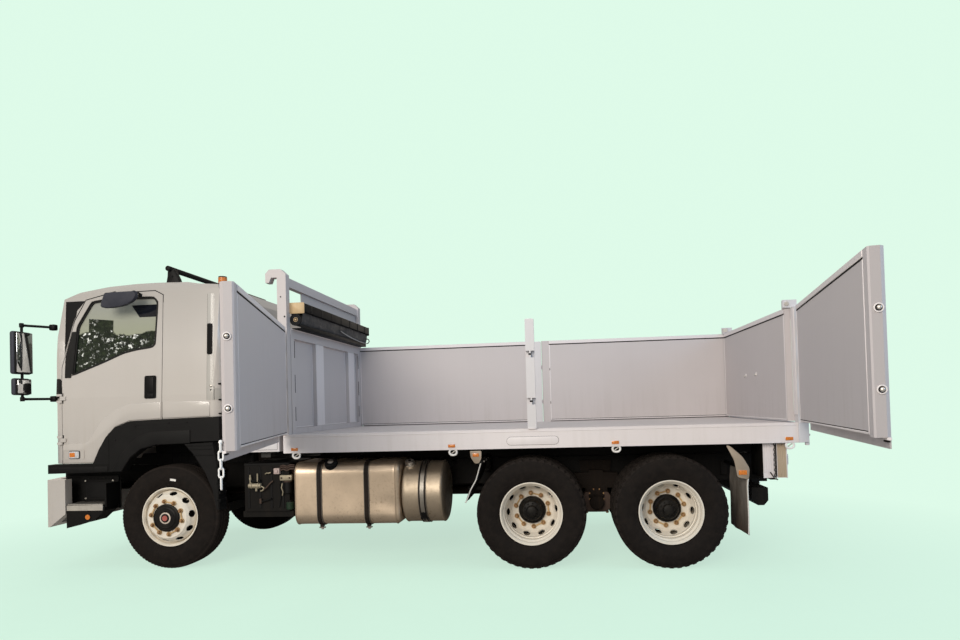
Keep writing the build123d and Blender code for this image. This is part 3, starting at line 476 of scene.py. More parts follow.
def glass():
    """Tinted glass with painted reflections of a yard: pale above a wavy line, dark and glinting below it."""
    s = Shader("tinted_glass_painted_reflections", (0.02, 0.03, 0.022), 0.03)
    s.set("IOR", 1.5)
    s.set("Coat Weight", 0.15)
    s.set("Specular IOR Level", 0.25)
    x, _, z = s.axes()
    # upper: the pale film above the wavy line, a painted sky reflection
    line = s.plus(z, s.span(s.noise(2.2, 5.0, 0.6), 0.3, 0.7, -0.06, 0.06))
    upper = s.span(line, 2.404, 2.418)
    # ahead and roof: dark painted reflections, a block ahead and the kerb mirror near the top, which cut the pale film
    # away
    ahead = s.times(s.times(s.span(x, -3.262, -3.256), s.span(x, -2.984, -2.99)), s.math(
        "LESS_THAN", z, s.span(x, -3.26, -2.99, 2.580, 2.552)))
    roof = s.times(s.math("GREATER_THAN", z, s.span(x, -2.79, -2.70, 2.70, 2.572)), s.math("LESS_THAN", z, 2.70))
    painted_dark_reflections = s.math("MINIMUM", s.plus(ahead, roof), 1.0)
    upper = s.times(upper, s.math("SUBTRACT", 1.0, painted_dark_reflections))
    # glint: painted glints in patches below the pale film, on the side windows only
    glint = s.span(s.noise(26.0, 4.0, 0.62), 0.565, 0.62)
    patch = s.span(s.noise(3.1, 3.0, 0.5), 0.40, 0.54)
    glint = s.times(s.times(glint, patch), s.math("SUBTRACT", 1.0, s.math("MAXIMUM", upper, roof)))
    glint = s.times(glint, s.math("GREATER_THAN", x, -3.42))
    # lower: a dark painted reflection of foliage, bluer black where roof is
    lower = s.mix(s.span(s.noise(30.0, 5.0, 0.7), 0.45, 0.7), (0.008, 0.014, 0.008), (0.035, 0.05, 0.025))
    lower = s.mix(roof, lower, (0.010, 0.012, 0.018))
    tone = s.mix(upper, lower, s.mix(s.span(z, 2.3, 2.75), (0.38, 0.40, 0.28), (0.37, 0.38, 0.35)))
    s.paint(s.mix(glint, tone, (0.85, 0.87, 0.84)))
    # the painted reflection and glints are more opaque than the glass
    s.feed(s.shader.inputs["Alpha"], s.math("MAXIMUM", s.span(upper, 0.0, 1.0, 0.80, 0.88), glint))
    s.roughness(s.span(s.noise(5.0, 5.0), 0.4, 0.7, 0.03, 0.12))
    return s.material


tinted_glass_painted_reflections = glass()


def from_axle(s, x):
    """Distance from the wheel axis at x, and the place along that axis."""
    px, py, pz = s.axes()
    return s.length(s.math("SUBTRACT", px, (x - ORIGIN.x) / 1000), s.math("SUBTRACT", pz, AXLE_Z / 1000)), py


def rim_paint(name, x, y_disc, out, single):
    """Cream rim; dark hub, with painted shade on the hand holes and drum behind the disc. out is -1 on the left wheels.
    """
    s = Shader(name, (0.70, 0.60, 0.47), 0.35)
    radius, py = from_axle(s, x)
    depth = s.times(s.math("SUBTRACT", py, (y_disc - ORIGIN.y) / 1000), -out)
    # behind the disc and inside the barrel the colour is near black, a painted shade on the hand holes and drum
    line = s.span(radius, 0.206, 0.262, 0.02, 0.095 if single else -0.068)
    behind = s.math("GREATER_THAN", depth, line)
    painted_shade_behind_disc = s.times(behind, s.math("LESS_THAN", radius, 0.2572))
    hub = s.math("LESS_THAN", radius, 0.134)
    # dark: the hub's own black together with the painted shade behind the disc
    dark = s.math("MAXIMUM", painted_shade_behind_disc, hub)
    grime = s.span(s.noise(22.0, 6.0, 0.7), 0.45, 0.72)
    near_hub = s.span(radius, 0.12, 0.19, 0.75, 0.12)
    rim = s.mix(s.times(grime, near_hub), (0.80, 0.74, 0.64), (0.30, 0.18, 0.10))
    s.paint(s.mix(dark, rim, (0.012, 0.010, 0.009)))
    s.roughness(s.span(grime, 0.0, 1.0, 0.32, 0.62))
    s.bump(s.noise(300.0, 2.0), 0.2, 0.0006)
    return s.material


def tyre_rubber(name, x):
    """Brown-black rubber: dust in its mould lines, a paler tread band and a painted highlight at the shoulder."""
    s = Shader(name, (0.008, 0.0066, 0.0058), 0.85)
    s.set("Specular IOR Level", 0.1)
    radius = from_axle(s, x)[0]
    dust = s.times(s.span(s.noise(14.0, 7.0, 0.7), 0.42, 0.75), 0.6)
    tread = s.span(radius, 0.495, 0.525, 0.0, 0.6)
    ringed = s.times(s.span(s.math("SINE", s.times(radius, 620.0)), 0.2, 1.0), 0.16)
    # edge: a thin pale ring at the shoulder, a painted highlight
    edge = s.span(s.math("ABSOLUTE", s.math("SUBTRACT", radius, 0.5035)), 0.0, 0.0022, 0.8, 0.0)
    mixed = s.math("MINIMUM", s.plus(s.plus(s.plus(dust, tread), ringed), edge), 0.95)
    s.paint(s.mix(mixed, (0.0082, 0.0066, 0.0060), (0.026, 0.0205, 0.0175)))
    s.roughness(s.span(dust, 0.0, 0.6, 0.72, 0.95))
    s.bump(s.noise(180.0, 4.0), 0.3, 0.0012)
    return s.material


# ---------------------------------------------------------------- carried-over nodes
def dress(node, *materials):
    slots = NODES[node].data.materials
    slots.clear()
    for material in materials:
        slots.append(material)


for node in NODES:
    if node.startswith("gate_") or node in ("headboard", "tailgate", "tray_floor"):
        dress(node, panel_paint)
for node in ("tray_deck", "lamp_boxes"):
    dress(node, body_paint)
for node in ("centre_posts", "rear_posts"):
    dress(node, post_paint)
dress("front_lockers", weathered("locker_paint", (0.62, 0.59, 0.60), 0.45, (0.40, 0.34, 0.28), 0.3, low=0.8, high=1.5,
                                 below=1.166))
for node in ("gate_front_left", "gate_rear_left"):
    dress(node, gate_paint_shaded_left_faces)
for node in ("cab_shell", "door_left", "door_right", "front_bumper"):
    dress(node, cab_paint)
for node in ("chassis_frame", "front_axle", "exhaust", "under_guard", "tray_crossmembers", "tray_subrails",
             "hoist_barrel", "rear_bar", "battery_box"):
    dress(node, chassis_paint)
for node in ("drive_axles", "rear_suspension", "engine_block", "driveline", "knuckle_left", "knuckle_right"):
    dress(node, casting)
for node in ("cab_underbody", "cab_front", "roof_bar", "mirrors", "kerb_mirror", "wheel_guards"):
    dress(node, black_plastic)
dress("cab_steps", step_plastic)
dress("cab_interior", interior_grey)
dress("mudflaps", flap_rubber)
dress("hoist_rod", ram_steel)
for node in ("fuel_tank", "oil_tank"):
    dress(node, tank_metal)
for node in ("cab_glass", "door_glass_left", "door_glass_right"):
    dress(node, tinted_glass_painted_reflections)
for side, label in SIDE_NAME.items():
    dress("wheel_front_" + label, rim_paint("rim_front_" + label, 0.0, side * (FRONT_TYRE_Y + DISC_OFFSET), side, True))
    for axle, x in REAR_AXLES.items():
        dress(f"wheels_{axle}_{label}", rim_paint(f"rim_{axle}_{label}", x, side * TWIN_FACE_Y, side, False))


# ---------------------------------------------------------------- tyres
def tyre(piece, centre, drive):
    """A tyre about the Y axis: zigzag ribs in front, shoulder blocks on the drive wheels."""
    # half width, radius, kind: t tread top, g groove floor, s shoulder, w wall
    half = [(0, 525, "t"), (27, 525, "t"), (28, 513, "g"), (37, 513, "g"), (38, 525, "t"), (70, 524, "t"),
            (71, 512, "g"), (80, 512, "g"), (81, 523.5, "t"), (104, 521, "s"), (113, 515, "s"), (119, 505, "s"),
            (123, 492, "s"), (127, 483, "w"), (130.5, 478, "w"), (131.5, 474, "w"), (134, 458, "w"), (137, 440, "w"),
            (139, 421, "w"), (139.5, 402, "w"), (138, 384, "w"), (137.2, 381, "w"), (134, 365, "w"),
            (128.5, 347, "w"), (123, 334, "w"), (121.5, 331, "w"), (117, 320, "w"), (112, 310, "w"), (107, 303, "w"),
            (101, 298, "w"), (88, 296, "w")]
    steps, pitch = 270, 6
    rows = [(-w, r, kind) for w, r, kind in reversed(half)] + [(w, r, kind) for w, r, kind in half[1:]]
    b = bmesh.new()
    rings = []
    for i in range(steps):
        turn = 2 * math.pi * i / steps
        wave = abs((i % pitch) / pitch - 0.5) * 4 - 1
        ring = []
        for w, r, kind in rows:
            y, radius = w, r
            if kind in "tg" and 20 < abs(w) < 90:
                y += 3.5 * wave * (1 if w > 0 else -1)
            if kind == "s" or (drive and kind == "t" and abs(w) > 80):
                cut = (i % pitch) < 2 if drive else (i % 3) == 0
                if cut:
                    radius -= (13 if drive else 5) * (1.0 if abs(w) < 118 else 0.45)
            if drive and kind == "t" and 36 < abs(w) < 75 and (i % pitch) in (3, 4):
                radius -= 10
            ring.append(b.verts.new((radius * math.cos(turn), y, radius * math.sin(turn))))
        rings.append(ring)
    for i in range(steps):
        a, c = rings[i], rings[(i + 1) % steps]
        for k in range(len(rows) - 1):
            b.faces.new((a[k], a[k + 1], c[k + 1], c[k]))
        b.faces.new((a[-1], a[0], c[0], c[-1]))
    piece.close(b, 0, Matrix.Translation(centre))


for side, label in SIDE_NAME.items():
    made = Piece("tyre_dressed_front_" + label, "wheel_front_" + label, "tyre_rubber", tyre_rubber("rubber_front", 0.0))
    tyre(made, (0, side * FRONT_TYRE_Y, AXLE_Z), False)
    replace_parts(made.finish(30.0), "tyre_front_" + label)
    for axle, x in REAR_AXLES.items():
        twins = []
        for part, y in (("outer", TWIN_FACE_Y + DISC_OFFSET), ("inner", TWIN_FACE_Y - DISC_OFFSET)):
            made = Piece(f"tyre_dressed_{axle}_{label}_{part}", f"wheel_{axle}_{label}", "tyre_rubber",
                         tyre_rubber(f"rubber_{axle}", x))
            tyre(made, (x, side * y, AXLE_Z), True)
            twins.append(made.finish(30.0))
        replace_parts(twins[0], f"tyres_{axle}_{label}")
        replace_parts(twins[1], f"tyres_{axle}_{label}")

# ---------------------------------------------------------------- wheel trim
tag_white = moulded("tag_white", (0.8, 0.78, 0.75), 0.5, (0.4, 0.35, 0.3), 0.3)
link_yellow = moulded("link_yellow", (0.60, 0.41, 0.20), 0.5, (0.33, 0.2, 0.1), 0.8)
hub_black = moulded("hub_black", (0.0055, 0.0052, 0.005), 0.4, (0.035, 0.03, 0.024), 0.5, 200.0)
hub_red = moulded("hub_red", (0.45, 0.12, 0.10), 0.4, (0.25, 0.12, 0.1), 0.5)
hub_pale = plain_metal("hub_pale", (0.75, 0.66, 0.58), 0.35, 0.6)


def wheel_face(x, y, side):
    """The plane of a wheel's nuts with +Z outboard; the right wheels mirror the left ones."""
    return Matrix.Translation((x, side * y, AXLE_Z)) @ Matrix.Diagonal((1, -side, 1, 1)) @ placed(0, 0, 0, 90, "X")


NUT_TURN = {"front": -10.5, "mid": -14.5, "rear": 13.0}
NUT_R = 165.0

for side, label in SIDE_NAME.items():
    wheels = [("front", 0.0, FRONT_TYRE_Y + DISC_OFFSET)]
    wheels += [(axle, x, TWIN_FACE_Y + 12) for axle, x in REAR_AXLES.items()]
    for axle, x, y in wheels:
        made = Piece(f"wheel_trim_{axle}_{label}", f"wheel_{axle}_{label}", "wheel_paint", rusty_bolt, link_yellow,
                     hub_black, hub_red, hub_pale, tag_white)
        face = wheel_face(x, y, side)

        def turned(degrees, x=0, y=0, z=0):
            return face @ placed(0, 0, 0, degrees, "Z") @ Matrix.Translation((x, y, z))

        half = NUT_R * math.sin(math.radians(18))
        for i in range(10):
            at = turned(NUT_TURN[axle] + 36 * i, NUT_R)
            made.lathe([(22, 0), (22, 4), (17.5, 5)], 0, 20, at)
            made.lathe([(18.2, 4), (18.2, 24), (15.6, 28), (11, 28)], 0, 6, at)
            made.lathe([(11, 20), (11, 36), (9.5, 38), (0, 38)], 0, 14, at)
            if i % 2 == 0:
                middle = turned(NUT_TURN[axle] + 36 * i + 18, NUT_R * math.cos(math.radians(18)), 0, 5)
                for sign in (1, -1):
                    made.lathe([(23, 0), (24, 3), (23, 9), (18.8, 9.5), (18.8, 0)], 1, 24,
                               middle @ Matrix.Translation((0, sign * half, 0)), closed=True)
                made.box(-7, 7, -half + 21, half - 21, 1, 8, 1, 2.0, middle)
        if axle == "front":
            made.lathe([(138, 0), (139, 11), (136, 18), (128, 22), (112, 22), (106, 26.5), (98, 29.5), (92, 27.8),
                        (84, 30), (62, 31.5), (60, 30.5), (41, 30.5), (41, 39), (0, 39)], 2, 64, face)
            made.lathe([(57, 29), (57.5, 33.5), (55, 35.5), (46, 35.5), (43, 33), (43, 29)], 4, 48, face, closed=True)
            made.lathe([(28, 38), (27, 42.5), (20, 44), (17, 42), (9, 42), (7, 44.5), (0, 45)], 3, 32, face)
            for i in range(6):
                made.lathe([(6.5, 28), (6.5, 33.5), (5, 35), (0, 35)], 2, 6, turned(60 * i + 8, 74))
            made.box(-12, 12, -31, 31, 0, 1.5, 5, 0.5, turned(82, 380, 0, -28))
            valve = (262, 0, -118), (243, 0, -66)
        else:
            made.lathe([(133, -12), (134, 12), (132, 24), (129, 29), (106, 40), (104, 46), (97.5, 84), (88, 95),
                        (56, 103), (54, 110), (48, 139), (42, 143), (0, 144)], 2, 64, face)
            for i in range(10):
                made.lathe([(9, 92), (9, 106), (7, 108), (0, 108)], 2, 6, turned(36 * i + 11, 74))
                made.lathe([(7, 28), (7, 38), (0, 38)], 2, 6, turned(36 * i + 29, 118))
            valve = (256, 0, 138), (214, 0, 150)
        made.rod(*(turned(NUT_TURN[axle] + 54) @ Vector(end) for end in valve), 4.5, 4, 10)
        made.finish()

# ---------------------------------------------------------------- outline helpers
def rect(u0, u1, v0, v1):
    return [(u0, v0), (u1, v0), (u1, v1), (u0, v1)]


def rounded(outline, r, steps=4):
    """The outline with each corner replaced by a short curve that starts r from it."""
    points, count = [], len(outline)
    for i, corner in enumerate(outline):
        v = Vector(corner)
        a, b = Vector(outline[i - 1]) - v, Vector(outline[(i + 1) % count]) - v
        start, end = v + a.normalized() * min(r, a.length * 0.45), v + b.normalized() * min(r, b.length * 0.45)
        for k in range(steps + 1):
            t = k / steps
            q = start * (1 - t) ** 2 + v * 2 * t * (1 - t) + end * t ** 2
            points.append((q.x, q.y))
    return points


def grown(outline, by):
    """The outline moved outwards by a distance, corner by corner."""
    count = len(outline)
    area = sum(outline[i - 1][0] * outline[i][1] - outline[i][0] * outline[i - 1][1] for i in range(count))
    turn = 1 if area > 0 else -1
    points = []
    for i in range(count):
        p, v, n = (Vector(outline[j % count]) for j in (i - 1, i, i + 1))
        a, b = (v - p).normalized(), (n - v).normalized()
        na, nb = Vector((a.y, -a.x)) * turn, Vector((b.y, -b.x)) * turn
        middle = (na + nb).normalized()
        points.append(tuple(v + middle * by / max(0.35, middle.dot(na))))
    return points


def slot_shape(x0, x1, z0, z1):
    """A box with fully rounded ends, longer in its first direction."""
    r, steps = (z1 - z0) / 2, 8
    middle = (z0 + z1) / 2
    points = []
    for centre, start in ((x1 - r, -90), (x0 + r, 90)):
        for k in range(steps + 1):
            a = math.radians(start + 180 * k / steps)
            points.append((centre + r * math.cos(a), middle + r * math.sin(a)))
    return points


def cab_y(x, z):
    """Distance of the cab's side surface from the centreline."""
    y = 1195.0 - max(0.0, z - 1760.0) * 62.0 / 1205.0
    for start, r in ((-1070.0, 230.0), (480.0, 110.0)):
        past = (start - x) if start < 0 else (x - start)
        if 0 < past < r:
            y -= r - math.sqrt(r * r - past * past)
    return y


def join_edges(b, top, low):
    """Faces that join the edges of one grid of vertices to those of another."""
    for k in (0, -1):
        span_rows(b, [[row[k] for row in top], [row[k] for row in low]])
        span_rows(b, [top[k], low[k]])


def on_side(piece, outline, proud, m=0, inner=None, depth=6.0, bevel=0.0, surface=cab_y):
    """A plate that follows a side surface; with inner it is a ring between two outlines of equally many points."""
    b = bmesh.new()

    def loop(points, out):
        return [b.verts.new((x, piece.side * (surface(x, z) + out), z)) for x, z in points]

    top, low = loop(outline, proud), loop(outline, proud - depth)
    count = len(outline)
    if inner is None:
        b.faces.new(top)
        b.faces.new(list(reversed(low)))
    else:
        itop, ilow = loop(inner, proud), loop(inner, proud - depth)
    for i in range(count):
        j = (i + 1) % count
        b.faces.new((top[i], low[i], low[j], top[j]))
        if inner is not None:
            b.faces.new((top[i], top[j], itop[j], itop[i]))
            b.faces.new((low[j], low[i], ilow[i], ilow[j]))
            b.faces.new((itop[j], ilow[j], ilow[i], itop[i]))
    bmesh.ops.recalc_face_normals(b, faces=b.faces)
    if bevel:
        rim = [e for e in b.edges if len(e.link_faces) == 2 and e.calc_face_angle(0.0) > 0.9
               and all(v in top for v in e.verts)]
        bmesh.ops.bevel(b, geom=rim, offset=bevel, segments=3, profile=0.5, affect="EDGES")
    piece.absorb(b, m)


def wrap(piece, rows, proud, m=0, columns=10, depth=7.0):
    """A cover that follows the side surface round its corners; rows are (z, x at one edge, x at the other)."""
    b = bmesh.new()
    top, low = [], []
    for sheet, out in ((top, proud), (low, proud - depth)):
        for z, x0, x1 in rows:
            line = [x0 + (x1 - x0) * k / columns for k in range(columns + 1)]
            sheet.append([b.verts.new((x, piece.side * (cab_y(x, z) + out), z)) for x in line])
    span_rows(b, top)
    join_edges(b, top, low)
    piece.close(b, m)


def between(points, z):
    """x on a line of (z, x) points."""
    for (z0, x0), (z1, x1) in zip(points, points[1:]):
        if z <= z1:
            return x0 + (x1 - x0) * (z - z0) / (z1 - z0)
    return points[-1][1]


def flat_side(y):
    return lambda x, z: y


# how far the arch mouldings and the tray's side rails stand from the centreline
ARCH_Y, RAIL_Y = 1232, 1200
ARCH_FACE, RAIL_FACE = flat_side(ARCH_Y), flat_side(RAIL_Y)

# ---------------------------------------------------------------- cab trim
WINDOW_SIDE = [(-1022, 1987), (-688, 2107), (-448, 2203), (-308, 2231), (-142, 2251), (-107, 2282),
               (-84, 2724), (-132, 2778), (-578, 2785), (-818, 2757), (-978, 2500)]
DOOR_SIDE = [(-1130, 1090), (-1130, 2080), (-1000, 2560), (-880, 2770), (-620, 2830), (-120, 2835),
             (-36, 2790), (-36, 1520)]
FLARE_OUTER = [(570, 1688), (480, 1689), (-24, 1695), (-42, 1695), (-363, 1684), (-545, 1628), (-690, 1524),
               (-775, 1410), (-835, 1318), (-890, 1296), (-1118, 1291)]
PAINTED_EDGE = [(-778, 1094), (-706, 1239), (-634, 1356), (-534, 1458), (-379, 1514), (-42, 1526)]
rubber_seal = moulded("rubber_seal", (0.012, 0.012, 0.012), 0.5, (0.05, 0.045, 0.04), 0.2)
gap_dark = moulded("gap_dark", (0.006, 0.006, 0.006), 0.8, (0.02, 0.018, 0.016), 0.2)
s = Shader("mirror_glass", (0.75, 0.78, 0.8), 0.03, 1.0)
s.roughness(s.span(s.noise(40.0), 0.3, 0.8, 0.02, 0.1))
mirror_glass = s.material
# a darker copy of the cab paint: painted shade on the rounded rear corner of the cab
quarter_shaded_paint = weathered("quarter_shaded_paint", (0.40, 0.385, 0.36), 0.3, (0.36, 0.29, 0.22), 0.3, coat=0.4)
mirror_shell = moulded("mirror_shell", (0.04, 0.042, 0.055), 0.45, (0.1, 0.1, 0.11), 0.3, 300.0)

for side, label in SIDE_NAME.items():
    door = "door_" + label
    # rubber round the window, over the edge of the glass
    p = Piece("window_seal_" + label, door, "black_plastic", rubber_seal, side=side)
    window = rounded(WINDOW_SIDE, 40)
    on_side(p, window, -6.0, 0, grown(window, -20), 20.0)
    on_side(p, grown(window, 3), 1.5, 0, grown(window, -7), 9.0)
    p.finish(50)
    # dark rubber in the gap round the door, and a dark strip on the surface round it that paints the seam's shade
    p = Piece("door_gap_" + label, "cab", "black_plastic", rubber_seal, side=side)
    on_side(p, grown(DOOR_SIDE, 5.4), -7.0, 0, grown(DOOR_SIDE, 1.0), 12.0)
    on_side(p, grown(DOOR_SIDE, 9.0), 0.8, 0, grown(DOOR_SIDE, 1.5), 3.0)
    p.finish(50)
    # wheel-arch flare pressed into the door and the cab's rear quarter
    p = Piece("arch_flare_door_" + label, door, "cab_paint", cab_paint, side=side)
    outline = FLARE_OUTER[3:] + [(-1118, 1094)] + PAINTED_EDGE
    on_side(p, outline, 9.0, 0, None, 12.0, 7.0)
    p.finish(60)
    p = Piece("arch_flare_cab_" + label, "cab", "cab_paint", cab_paint, side=side)
    outline = [(-24, 1695), (-24, 1527), (470, 1534), (478, 1534), (478, 1689)]
    on_side(p, outline, 9.0, 0, None, 12.0, 7.0)
    p.finish(60)
    # pull handle in its recess
    p = Piece("door_handle_" + label, door, "black_plastic", black_plastic, gap_dark, cab_paint, side=side)
    frame_line = rounded(rect(-227, -86, 1725, 1970), 26)
    on_side(p, frame_line, 3.0, 2, grown(frame_line, -5), 6.0)
    on_side(p, grown(frame_line, -5), 1.5, 1, None, 6.0)
    p.box(-196, -118, 1172, 1199, 1792, 1952, 0, 9, rounds=2)
    p.box(-190, -124, 1176, 1202, 1740, 1782, 0, 6, rounds=2)
    p.rod((-157, 1190, 1761), (-157, 1206, 1761), 11, 0, 20)
    p.finish(40)
    # vent slot and moulding on the rear quarter; the moulding is a darker copy of the cab paint, a painted shade of the
    # rounded rear corner
    p = Piece("quarter_moulding_shaded_" + label, "cab", "cab_paint", quarter_shaded_paint, rubber_seal, side=side)
    heights = [1700 + 24 * i for i in range(46)]
    far = [(1700, 586), (2760, 586), (2850, 545), (2900, 520)]
    wrap(p, [(z, 449, between(far, z)) for z in heights], 3.0, 0, 14)
    wrap(p, [(z, 511, 519) for z in heights], 7.0, 0, 3)
    wrap(p, [(z, 521, 524) for z in heights], 3.6, 1, 2)
    wrap(p, [(z, 446, 449.5) for z in heights], 0.8, 1, 2)
    p.finish(40)
    p = Piece("quarter_vent_" + label, "cab", "black_plastic", gap_dark, black_plastic, side=side)
    vent = rounded(rect(449, 503, 2160, 2475), 16)
    on_side(p, vent, 14.0, 1, None, 20.0, 5.0)
    on_side(p, grown(vent, -12), 15.0, 0, None, 4.0)
    p.finish(40)
    # black pillar, corner cover and the strip that joins them at the door's front edge
    p = Piece("front_pillar_" + label, "cab", "black_plastic", black_plastic, rubber_seal, side=side)
    heights = [1985 + 20 * i for i in range(40)]
    edge = [(1985, -1141), (2084, -1141), (2566, -1011), (2610, -986), (2669, -979), (2712, -935), (2770, -890)]
    front = [(1800, -1289), (2790, -1122)]
    glass_edge = [(1850, 1042), (2690, 1002), (2800, 1002)]
    wrap(p, [(z, between(front, z) + 1, between(edge, z)) for z in heights], 3.0, 0, 12)
    b = bmesh.new()
    rows = []
    for z in heights:
        x = between(front, z)
        near, far = between(glass_edge, z), cab_y(x + 1, z) + 3
        rows.append([b.verts.new((x - 3 - 0.02 * abs(k - 3), side * (near + (far - near) * k / 6), z))
                     for k in range(7)])
    span_rows(b, rows)
    p.close(b)
    cover = [(1765, 36), (1769, 20), (1778, 9), (1795, 1), (1815, 0), (1915, 0), (1935, 1), (1952, 9), (1961, 20),
             (1965, 36)]
    wrap(p, [(z, -1284 + inset, -1132 - inset) for z, inset in cover], 14.0, 0, 14, 18.0)
    p.finish(40)
    p = Piece("window_corner_" + label, door, "black_plastic", rubber_seal, side=side)
    inner_edge = [(1968, -1030), (1990, -1024), (2330, -995), (2448, -985)]
    outer_edge = [(1968, -1126), (2082, -1126), (2448, -1027)]
    heights = (1968, 1990, 2030, 2082, 2140, 2200, 2260, 2330, 2390, 2448)
    wrap(p, [(z, between(outer_edge, z), between(inner_edge, z)) for z in heights], 2.0, 0, 8, 5.0)
    p.finish(40)
    # side repeater lamp in its pressed surround
    p = Piece("side_repeater_" + label, door, "lamp_clear", clear_lens, cab_paint, amber, black_plastic, side=side)
    surround = rounded(rect(-1118, -880, 1128, 1232), 22)
    on_side(p, surround, 11.0, 1, grown(surround, -8), 6.0)
    lens = rounded(rect(-1046, -934, 1142, 1214), 14)
    on_side(p, grown(lens, 6), 12.0, 3, None, 8.0)
    on_side(p, lens, 20.0, 0, None, 12.0, 4.0)
    on_side(p, rounded(rect(-1036, -976, 1156, 1200), 8), 21.5, 2, None, 6.0, 1.5)
    p.finish(40)
    # arch lip, its seams and the sill strip
    p = Piece("arch_lip_" + label, "cab", "black_plastic", black_plastic, gap_dark, side=side)
    lip = [(-563, 1003), (-457, 1171), (-380, 1262), (-289, 1334), (-205, 1376), (-123, 1398), (285, 1404),
           (285, 1272), (214, 1270), (-79, 1266), (-244, 1225), (-356, 1143), (-452, 1003)]
    on_side(p, lip, 9.0, 0, None, 12.0, 5.0, ARCH_FACE)
    on_side(p, [(-596, 1000), (-588, 1000), (-588, 1392), (-596, 1382)], 1.5, 1, None, 3.0, 0.0, ARCH_FACE)
    on_side(p, rect(-1258, -600, 1062, 1080), 1.5, 1, None, 3.0, 0.0, ARCH_FACE)
    on_side(p, rounded(rect(-1258, -602, 1004, 1056), 8), 7.0, 0, None, 9.0, 3.0, ARCH_FACE)
    for x in (-1150, -930, -760):
        on_side(p, rect(x, x + 5, 1006, 1054), 8.0, 1, None, 3.0, 0.0, ARCH_FACE)
    for z in (1430, 1462):
        on_side(p, [(-330, z), (280, z + 8), (280, z + 12), (-330, z + 4)], 2.5, 0, None, 4.0, 1.0, ARCH_FACE)
    for x, z in ((-520, 1320), (-300, 1452), (60, 1482), (250, 1482)):
        p.bolt((x, ARCH_Y, z), (0, 1, 0), 12)
    p.finish(40)
    # ribs and bolts of the guard behind the front wheel
    p = Piece("guard_ribs_" + label, "chassis", "black_plastic", black_plastic, gap_dark, side=side)
    for z, x0, x1 in ((1246, 245, 520), (1210, 268, 528), (1150, 318, 540)):
        p.box(x0, x1, 1234, 1241, z - 5, z + 5, 0, 3)
    p.prism([(512, 815), (548, 620), (574, 612), (564, 1050), (522, 1262), (505, 1262), (548, 1050)], "y",
            1234, 1240, 0, 2)
    for z in (700, 860, 1020, 1180):
        p.bolt((556 - (0 if z < 1060 else (z - 1060) * 0.2), 1240, z), (0, 1, 0), 12, 0)
    p.finish(40)
    # step: serrated tread, reflector, well panel
    p = Piece("step_fittings_" + label, "chassis", "zinc_steel", tread_metal, amber, black_plastic, step_plastic,
              side=side)
    p.box(-1074, -680, 1213, 1217, 608, 662, 0, 2)
    p.box(-1068, -684, 1030, 1216, 664, 668, 0, 1.5)
    for x in range(-1060, -691, 16):
        p.prism([(x, 668), (x + 4, 678), (x + 9, 678), (x + 13, 668)], "y", 1040, 1212, 0)
    p.rod((-843, 1212, 543), (-843, 1219, 543), 31, 2, 28, edge=2)
    p.rod((-843, 1217, 543), (-843, 1223, 543), 26, 1, 28, edge=2)
    p.box(-1040, -690, 1010, 1016, 690, 905, 3, 5)
    p.box(-1010, -720, 1014, 1020, 720, 880, 2, 4)
    for x in (-1020, -710):
        for z in (706, 890):
            p.bolt((x, 1016, z), (0, 1, 0), 11, 0)
    for x in range(-985, -732, 42):
        p.box(x, x + 30, 1016, 1022, 912, 918, 2, 1)
    p.finish(40)

# mirrors and their arms
for side, label in SIDE_NAME.items():
    p = Piece("mirror_heads_" + label, "cab", "black_plastic", mirror_shell, mirror_glass, black_plastic, side=side)
    for z0, z1, y0, y1 in ((2010, 2440, 1270, 1500), (1800, 1970, 1290, 1490)):
        p.box(-1440, -1384, y0, y1, z0, z1, 0, 24, rounds=3)
        p.box(-1392, -1371, y0 + 8, y1 - 8, z0 + 8, z1 - 8, 2, 8, rounds=2)
        p.box(-1374, -1367, y0 + 18, y1 - 18, z0 + 18, z1 - 18, 1, 5, rounds=2)
    p.tube([(-1400, 1385, 1742), (-1400, 1385, 2120), (-1400, 1385, 2518)], 13, 2, 14)
    for z in (2505, 1760):
        p.tube([(-1400, 1392, z), (-1380, 1340, z), (-1320, 1250, z), (-1262, 1150, z)], 13, 2, 14)
        p.rod((-1400, 1385, z - 22), (-1400, 1385, z + 22), 21, 2, 20, edge=4)
        p.box(-1290, -1225, 1110, 1166, z - 30, z + 30, 2, 8)
    made = p.finish(45)
    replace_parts(made, "mirrors")

p = Piece("kerb_mirror_head", "door_left", "black_plastic", mirror_shell, mirror_glass, black_plastic)
head = rounded([(-545, 2806), (-206, 2810), (-202, 2745), (-250, 2700), (-330, 2668), (-450, 2650), (-560, 2652),
                (-592, 2676)], 26, 5)
p.prism(head, "y", -1333, -1287, 0, 9)
p.prism(grown(head, -16), "y", -1289, -1282, 1)
for x in (-500, -290):
    p.tube([(x, -1300, 2800), (x, -1230, 2824), (x + 6, -1165, 2818), (x + 6, -1128, 2800)], 10, 2, 12)
    p.box(x - 16, x + 28, -1152, -1118, 2782, 2812, 2, 6)
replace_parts(p.finish(45), "kerb_mirror")

p = Piece("roof_beacon", "cab", "lamp_amber", amber, black_plastic)
p.lathe([(53, 3090), (53, 3104), (50.5, 3108), (49.5, 3180), (44, 3191), (28, 3196), (0, 3197)], 0, 36)
p.lathe([(57, 3080), (57, 3096), (53, 3100)], 1, 36)
for k in range(7):
    p.lathe([(50.5, 3112 + 10 * k), (52, 3116 + 10 * k), (50.5, 3120 + 10 * k)], 0, 36)
p.finish(50)

p = Piece("roof_bar_feet", "cab", "black_plastic", black_plastic)
for p.side in (LEFT, RIGHT):
    foot = rounded([(-42, 2905), (118, 2905), (104, 2956), (66, 3040), (30, 3078), (-10, 3078), (-30, 2968)], 18, 4)
    p.prism(foot, "y", 1026, 1080, 0, 7)
    p.bolt((30, 1080, 2990), (0, 1, 0), 16, 0)
p.rod((0, -1112, 3070), (0, 1112, 3070), 27, 0, 28, edge=5)
p.finish(50)
